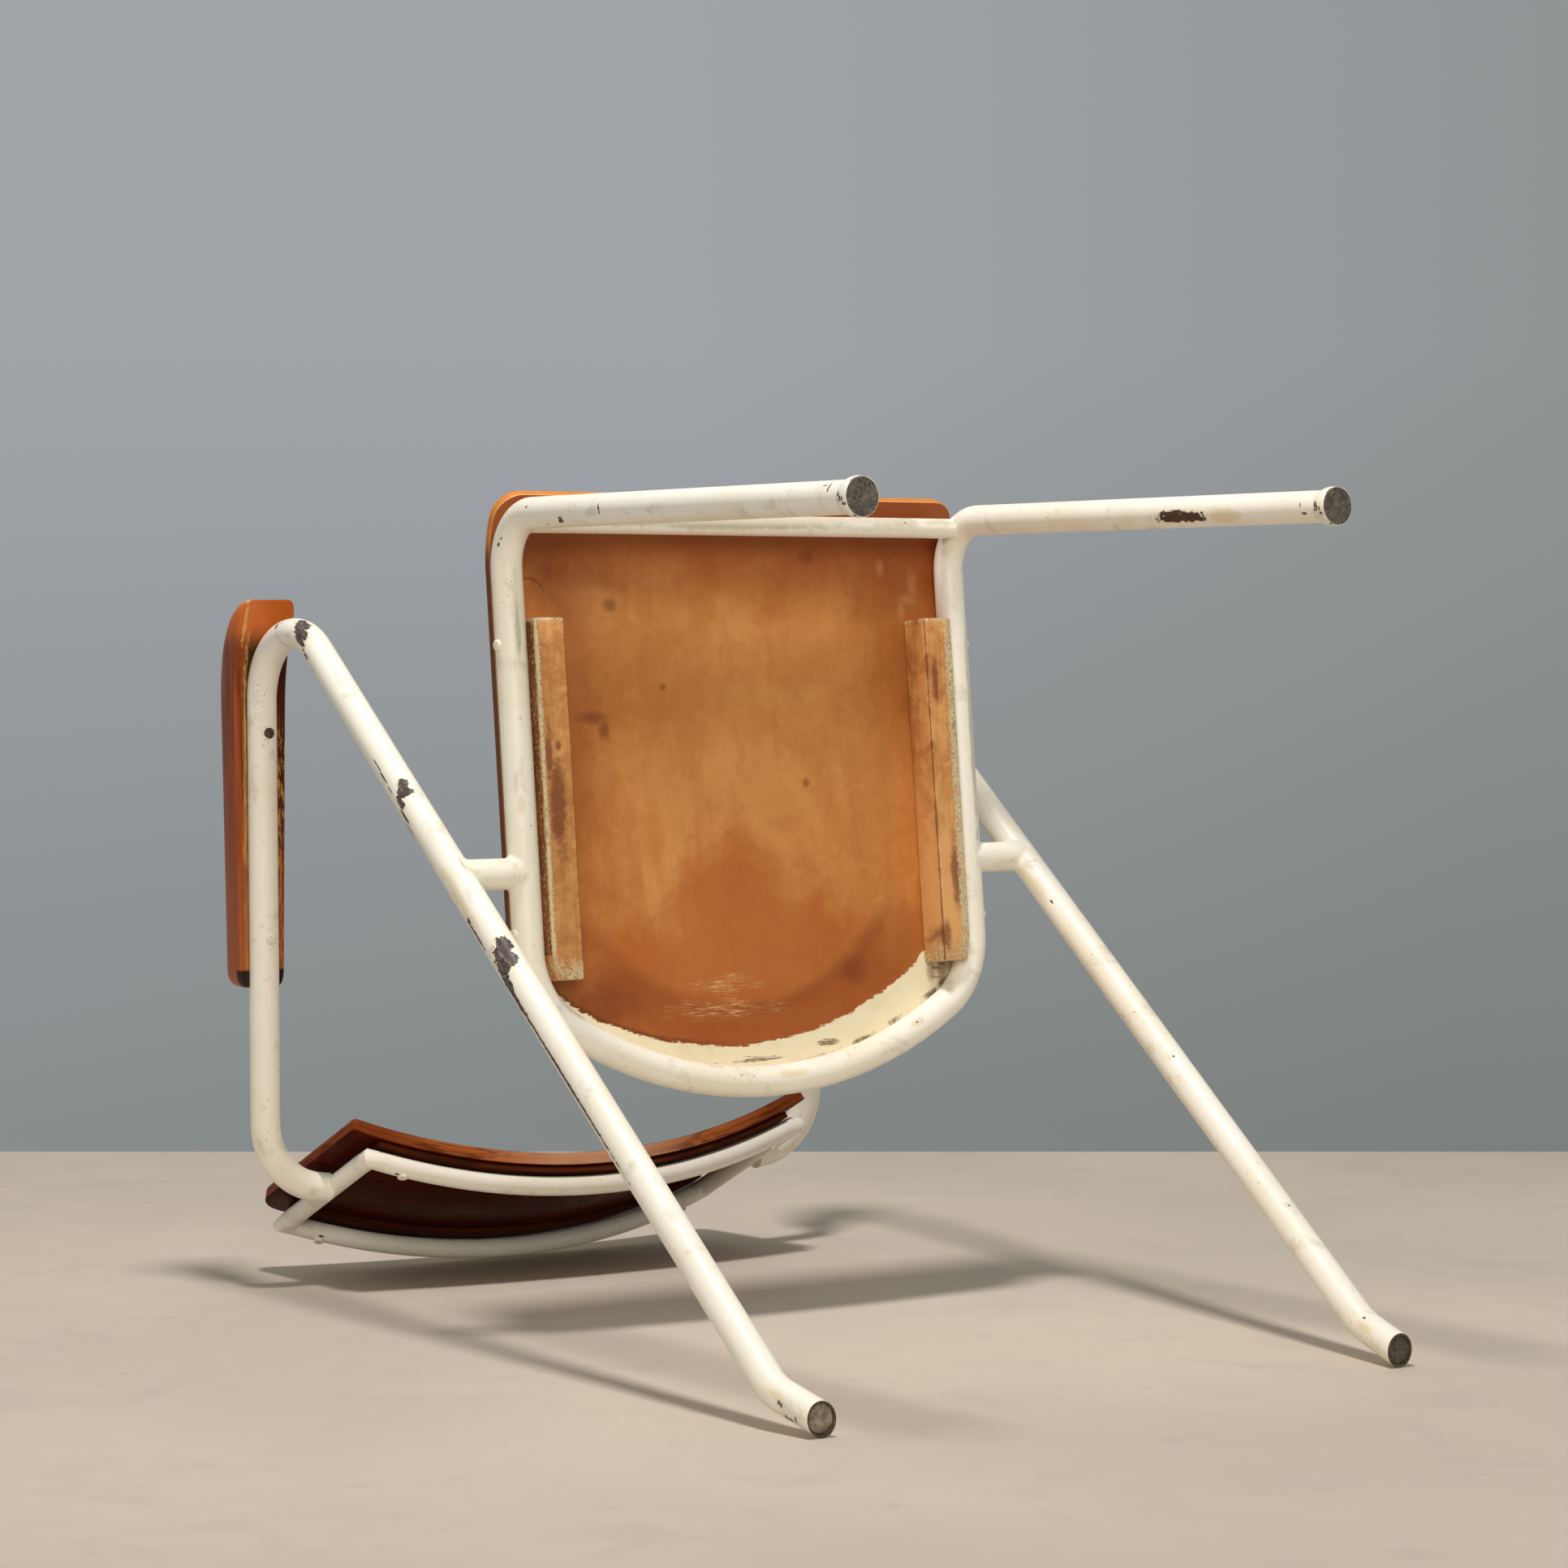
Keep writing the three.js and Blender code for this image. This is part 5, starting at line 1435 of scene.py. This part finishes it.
def rest_section(y, nose_start):
    """Half width, underside and top of the armrest at a distance back."""
    from_front, from_rear = y - rest_front, rest_front + rest_length - y
    curl = max((nose_start - y) / (nose_start - rest_front), 0) ** 2
    low = rest_lift - nose_drop * curl
    tail = tail_round * (1 - rounded_end(from_rear, tail_round))
    high = low + nose_edge + (rest_height - nose_edge) * rounded_end(from_front, nose_round) - tail
    full = rest_rear_half + (rest_front_half - rest_rear_half) * from_rear / rest_length
    plan = nose_plan * (1 - rounded_end(from_front, nose_plan))
    return full - plan / 2 - tail / 2, low, high


def rest_ring(y, nose_start):
    """One section of the armrest, as points of its own frame."""
    half, low, high = rest_section(y, nose_start)
    top = min(rest_top_round, half, high - low - eased_edge)
    right = []
    for k in range(9):
        a = math.pi / 2 * k / 8
        right.append((half - top * (1 - math.sin(a)), high - top * (1 - math.cos(a))))
    for k in range(5):
        a = math.pi / 2 * k / 4
        right.append((half - eased_edge * (1 - math.cos(a)), low + eased_edge * (1 - math.sin(a))))
    return [Vector((x, y, z)) for x, z in right] + [Vector((-x, y, z)) for x, z in reversed(right)]


print("armrest section at its middle:", [round(v, 1) for v in rest_section(170, 70)])

# %% [markdown]
# ## Lacquered block
# The armrest's sides are deep red-brown, its worn nose and underside are bright orange, and a strip of
# golden end plies runs beside the tube. Painting these zones by hand would tie them to one picture, so the
# finish reads the place in the unbent block: low down and close to the tube it turns golden, at the very
# front it turns orange.

# %% Worn and dirty places of the armrests
groove_dark, golden_plies = (0.0112, 0.0122), (0.0142, 0.0150)


def beside_tube(wood, side, colour, ragged):
    """Golden end plies low down beside the tube, the dark groove, and painted shade on the underside towards
    the chair's middle.
    """
    wobble = wood.torn(0, ragged, 0.003)
    along_x, back, height = wood.measure("X"), wood.measure("Y"), wood.measure("Z")
    under = wood.step(height, 0.006, 0.008, 1, 0)
    near_tube = wood.plus(wood.reckon("ABSOLUTE", along_x), wobble)
    line = grain(wood, 1500, 26, 1500)
    gold = wood.tint(paint(88, 46, 20), paint(206, 150, 74), line, 0.42, 0.58)
    colour = wood.mix(wood.times(wood.step(near_tube, *golden_plies, 1, 0), under), colour, gold)
    groove = wood.times(wood.step(near_tube, *groove_dark, 0.9, 0), under)
    colour = wood.mix(groove, colour, paint(44, 24, 12))
    # Painted shade on the underside towards the chair's middle: dark at the front, with golden dashes further
    # back.
    inner_shade = wood.step(wood.times(along_x, side), -0.0122, -0.0112, 1, 0)
    inner_shade = wood.times(inner_shade, wood.step(height, 0.0035, 0.0045, 0.9, 0))
    dashes = wood.cloud(wood.scaled(wood.unbent, 420, 70, 420), 1.0, 4, 0.7)
    dashes = wood.tint(paint(50, 24, 12), paint(176, 128, 66), dashes, 0.5, 0.56)
    return wood.mix(inner_shade, colour, wood.tint(paint(56, 24, 12), dashes, back, 0.11, 0.14))


def worn_nose_and_tail(wood, side, colour, ragged, speck):
    """Bright orange at the front, a pale scuffed ridge, paler to the rear and dark at the very end."""
    back = wood.measure("Y")
    nose = wood.plus(back, wood.times(wood.torn(0, ragged, 0.003), 2))
    colour = wood.tint(colour, paint(172, 92, 46), back, 0.14, 0.31, 0, 0.7)
    colour = wood.tint(colour, paint(218, 112, 40), nose, 0.046, 0.070, 0.9, 0)
    ridge = wood.torn(wood.reach((side * 17.5, 46, -8), (1.6, 22, 14)), speck, 3)
    colour = wood.tint(colour, paint(226, 172, 112), ridge, 0.6, 1.2, 0.8, 0)
    under = wood.step(wood.measure("Z"), 0.006, 0.008, 1, 0)
    return wood.mix(wood.times(wood.step(back, 0.300, 0.302), under), colour, paint(34, 22, 16))


plies_width = (golden_plies[0] - groove_dark[1]) / MM
print("the golden plies show for", round(plies_width, 1), "mm beside the groove")

# %% The armrests' finish
def armrest_finish(name, side):
    wood = Finish(name, gloss=0.3)
    wood.clear_coat(0.12, 0.14)
    streak = grain(wood, 160, 9, 160)
    ragged = wood.cloud(wood.unbent, 55, 5, 0.65, 0.5)
    speck = wood.cloud(wood.unbent, 420, 3, 0.6)
    colour = wood.tint(paint(116, 49, 24), paint(158, 78, 38), streak, 0.3, 0.72)
    colour = wood.tint(colour, paint(128, 58, 34), ragged, 0.45, 0.7, 0, 0.4)
    colour = beside_tube(wood, side, colour, ragged)
    colour = worn_nose_and_tail(wood, side, colour, ragged, speck)
    colour = wood.tint(colour, paint(206, 150, 92), speck, 0.74, 0.8, 0, 0.45)
    return wood.done(colour, wood.step(ragged, 0.3, 0.7, 0.24, 0.42), streak, 0.00012)


armrest_materials = {side: armrest_finish(f"armrest_wood_{name}", side) for side, name in both_sides}
print("armrest finish nodes:", len(armrest_materials[1].node_tree.nodes))

# %% Sections along an armrest, and a cut that keeps the memory
def cut_away(piece, cutter):
    """Cut a piece by another once, then throw the cutter away."""
    cut = piece.modifiers.new("groove", "BOOLEAN")
    cut.operation, cut.object, cut.solver = "DIFFERENCE", cutter, "EXACT"
    bpy.context.view_layer.update()
    solid = bpy.data.meshes.new_from_object(piece.evaluated_get(bpy.context.evaluated_depsgraph_get()))
    piece.modifiers.clear()
    piece.data = solid
    bpy.data.objects.remove(cutter)


def remember(piece, to_unbent):
    """Write the unbent places again: a boolean drops them."""
    attributes = piece.data.attributes
    memory = attributes.get("unbent") or attributes.new("unbent", "FLOAT_VECTOR", "POINT")
    middle = Vector((0, chair_middle, 0))
    places = [MM * (to_unbent @ (vertex.co / MM + middle)) for vertex in piece.data.vertices]
    memory.data.foreach_set("vector", [value for place in places for value in place])


def rest_stations(nose_start):
    """Distances back at which the armrest gets a section, closer together at its rounded ends."""
    rear = rest_front + rest_length
    spots = [rest_front + nose_plan * s for s in (0, 0.03, 0.1, 0.22, 0.4, 0.65, 1)]
    for stop in (nose_start, rear - tail_round):
        start = spots[-1]
        spots += [start + (stop - start) * i / 10 for i in range(1, 11)]
    return spots + [rear - tail_round * s for s in (0.6, 0.35, 0.18, 0.08, 0.02, 0)]


print("an armrest has", len(rest_stations(70)), "sections")

# %% Loft and groove the armrests
groove_clear = 0.3
leg_run, arm_run = rear_knee - arm_front, arm_rear - arm_front
nose_start = arm_bend * math.tan((math.pi - leg_run.angle(arm_run)) / 2)
for side, side_name in both_sides:
    rest_frame = arm_frame(side)
    rings = [[(rest_frame @ p, p) for p in rest_ring(y, nose_start)] for y in rest_stations(nose_start)]
    rest = make_piece(f"armrest_{side_name}_carved", skin(rings), armrest_materials[side],
                      [f"armrest_{side_name}"])
    if sum(p.area * p.normal.dot(p.center) for p in rest.data.polygons) < 0:
        rest.data.flip_normals()
    groove_points, _, groove_faces = skin(sweep(arm_line(side), main_radius + groove_clear))
    cut_away(rest, new_object("groove", [in_frame(p) for p in groove_points], groove_faces))
    remember(rest, rest_frame.inverted())
    rest.data.set_sharp_from_angle(angle=math.radians(40))
    print(side_name, "armrest:", len(rest.data.vertices), "points after the groove")

# %% [markdown]
# ## Feet
# The front feet end in a collar that flares a little beyond the tube. It is turned from a profile, its
# side is enamelled and chipped at the rim, and its face is dark, gritty and scraped. The rear feet are
# the tube's own cut ends, dirty at the rim, with a plug set a millimetre inside: the left one pale, the
# right one dark. A cylinder with a bevel would be quicker, but a turned profile holds the true flare.

# %% A turned piece, cut level
def lathe(profile, base, direction, sides=48):
    """Rings of a turned piece: (radius, height) pairs along a direction."""
    direction = Vector(direction).normalized()
    side = direction.orthogonal().normalized()
    other = direction.cross(side)
    return [round_ring(base + direction * h, side, other, r, h, sides) for r, h in profile]


def flat_on_floor(rings, direction):
    """Points below the standing chair's floor are slid up along the piece to it."""
    def lifted(p):
        return p - direction * (p.z / direction.z) if p.z < 0 else p
    return [[(lifted(p), u) for p, u in ring] for ring in rings]


print("a turned test piece:", len(lathe([(13, 0), (11, 12)], Vector((0, 0, 0)), (0, 0, 1))), "rings")

# %% Front collars and rear plugs
collar_profile = [(12.6, -1), (12.85, -0.8), (13.1, 0.4), (13.25, 1.2), (13.2, 5), (12.7, 8), (12.0, 10.4),
                  (11.4, 12), (11.0, 12.6)]
plug_profile = [(7.5, -2), (9.0, -2), (9.3, 1.5), (9.3, 14)]
plug_face_depths = (1.0, 1.2)
rim_chips = [(0, 15, 1.6, 6), (0.6, 70, 2.2, 2.6), (0, 190, 1.4, 7), (0, 232, 1, 9), (1, 300, 2.6, 2),
             (9, 141, 3.4, 4), (6.5, 130, 2, 3.4), (10, 124, 3, 2), (3, 114, 4, 2.4), (4, 126, 1.4, 3)]
rim_enamel = enamel("enamel_foot_rims", rim_chips, radius=13)

for side, side_name in both_sides:
    foot, axis = mirrored(front_foot, side), mirrored(front_knee - front_foot, side).normalized()
    shape = skin(flat_on_floor(lathe(collar_profile, foot, axis), axis), True, False)
    collar = make_piece(f"foot_collar_{side_name}", shape, [rim_enamel, grit_material],
                        [f"front_foot_cap_{side_name}"])
    for face in collar.data.polygons:
        if len(face.vertices) > 4:
            face.material_index = 1
    foot, axis = mirrored(rear_foot, side), mirrored(rear_knee - rear_foot, side).normalized()
    rings = flat_on_floor(lathe(plug_profile, foot, axis), axis)
    for i, depth in enumerate(plug_face_depths):
        rings[i] = [(p + axis * depth, u) for p, u in rings[i]]
    make_piece(f"foot_plug_{side_name}", skin(rings), plug_materials[side],
               [f"rear_foot_plug_{side_name}"])

# %% [markdown]
# ## Screws
# Round-head wood screws hold the wood to the tubes. A head is a small turned dome with one slot across
# it. The slot is cut with a boolean, as a saw cuts the real one. The steel is dull, with rust in the low
# places.

# %% The screws' finish
bare_metal = 0.6


def screw_finish(name, painted):
    steel = Finish(name, gloss=0.4)
    mottled = steel.cloud(steel.space, 700, 4, 0.7)
    colour = steel.tint(paint(58, 42, 32), paint(128, 116, 100), mottled, 0.38, 0.62)
    cream = steel.tint(enamel_yellow, enamel_cream, mottled, 0.4, 0.6)
    colour = steel.tint(colour, cream, mottled, 0.28, 0.34, 0, painted)
    metal = steel.step(mottled, 0.28, 0.34, bare_metal, bare_metal * (1 - painted)) if painted else bare_metal
    steel.plug(metal, steel.shader.inputs["Metallic"])
    return steel.done(colour, steel.step(mottled, 0.3, 0.7, 0.7, 0.38), mottled, 0.0001)


painted_screw, bare_screw = screw_finish("painted_screw", 0.95), screw_finish("bare_screw", 0)
print("screw finishes:", painted_screw.name, bare_screw.name)

# %% One slotted screw
head_radius, head_edge, head_rise, shank_radius, shank_length = 3.9, 0.7, 1.6, 2.0, 9
slot_half_width, slot_bottom, slot_half_length = 0.55, 1.3, 8


def screw_profile():
    dome = [math.radians(a) for a in range(0, 90, 12)]
    return [(shank_radius, -shank_length), (shank_radius, -1.4), (3.7, -1.4), (head_radius, -1.2),
            *((head_radius * math.cos(a), head_edge + head_rise * math.sin(a)) for a in dome), (0.2, 2.4)]


def screw(name, crown, inward, node, finish):
    """A slotted dome on a tube's surface, with a short shank into it."""
    outward = -Vector(inward).normalized()
    shape = skin(lathe(screw_profile(), Vector(crown), outward, 24))
    piece = make_piece(name, shape, finish, [node], sharp=35)
    side = outward.orthogonal().normalized()
    other = outward.cross(side)
    corners = [Vector(crown) + outward * h + side * s * slot_half_length + other * t * slot_half_width
               for h in (slot_bottom, 4) for s, t in ((-1, -1), (1, -1), (1, 1), (-1, 1))]
    box = [(3, 2, 1, 0), (4, 5, 6, 7), (0, 1, 5, 4), (1, 2, 6, 5), (2, 3, 7, 6), (3, 0, 4, 7)]
    cut_away(piece, new_object("saw", [in_frame(p) for p in corners], box))


print("a screw is turned from", len(screw_profile()), "rings")

# %% Place the screws
rail_screws, loop_screw_out = (("front", 91), ("rear", 291)), 163
arm_screws = (("front", 128.2, bare_screw), ("rear", 278.1, painted_screw))

for side, side_name in both_sides:
    for end, setback in rail_screws:
        crown, node = on_seat(side * (rail_half_span + main_radius), setback), f"seat_screw_{end}_{side_name}"
        screw(f"rail_screw_{end}_{side_name}", crown, (-side, 0, 0), node, painted_screw)
    rest_frame = arm_frame(side)
    for end, setback, finish in arm_screws:
        crown, node = rest_frame @ Vector((0, setback, -main_radius)), f"armrest_screw_{end}_{side_name}"
        screw(f"arm_screw_{end}_{side_name}", crown, rest_frame.to_3x3() @ Vector((0, 0, 1)), node, finish)
    angle = side * math.asin(loop_screw_out / loop_radius)
    inward = back_frame.to_3x3() @ Vector((-math.sin(angle), -math.cos(angle), 0))
    for level, height in (("lower", 0), ("upper", loop_rise)):
        crown = on_back(*round_back(angle, loop_radius + thin_radius, height))
        node = f"back_screw_{level}_{side_name}"
        screw(f"loop_screw_{level}_{side_name}", crown, inward, node, painted_screw)

# %% [markdown]
# ## The chair's size
# The dressed chair must keep the CAD model's size.
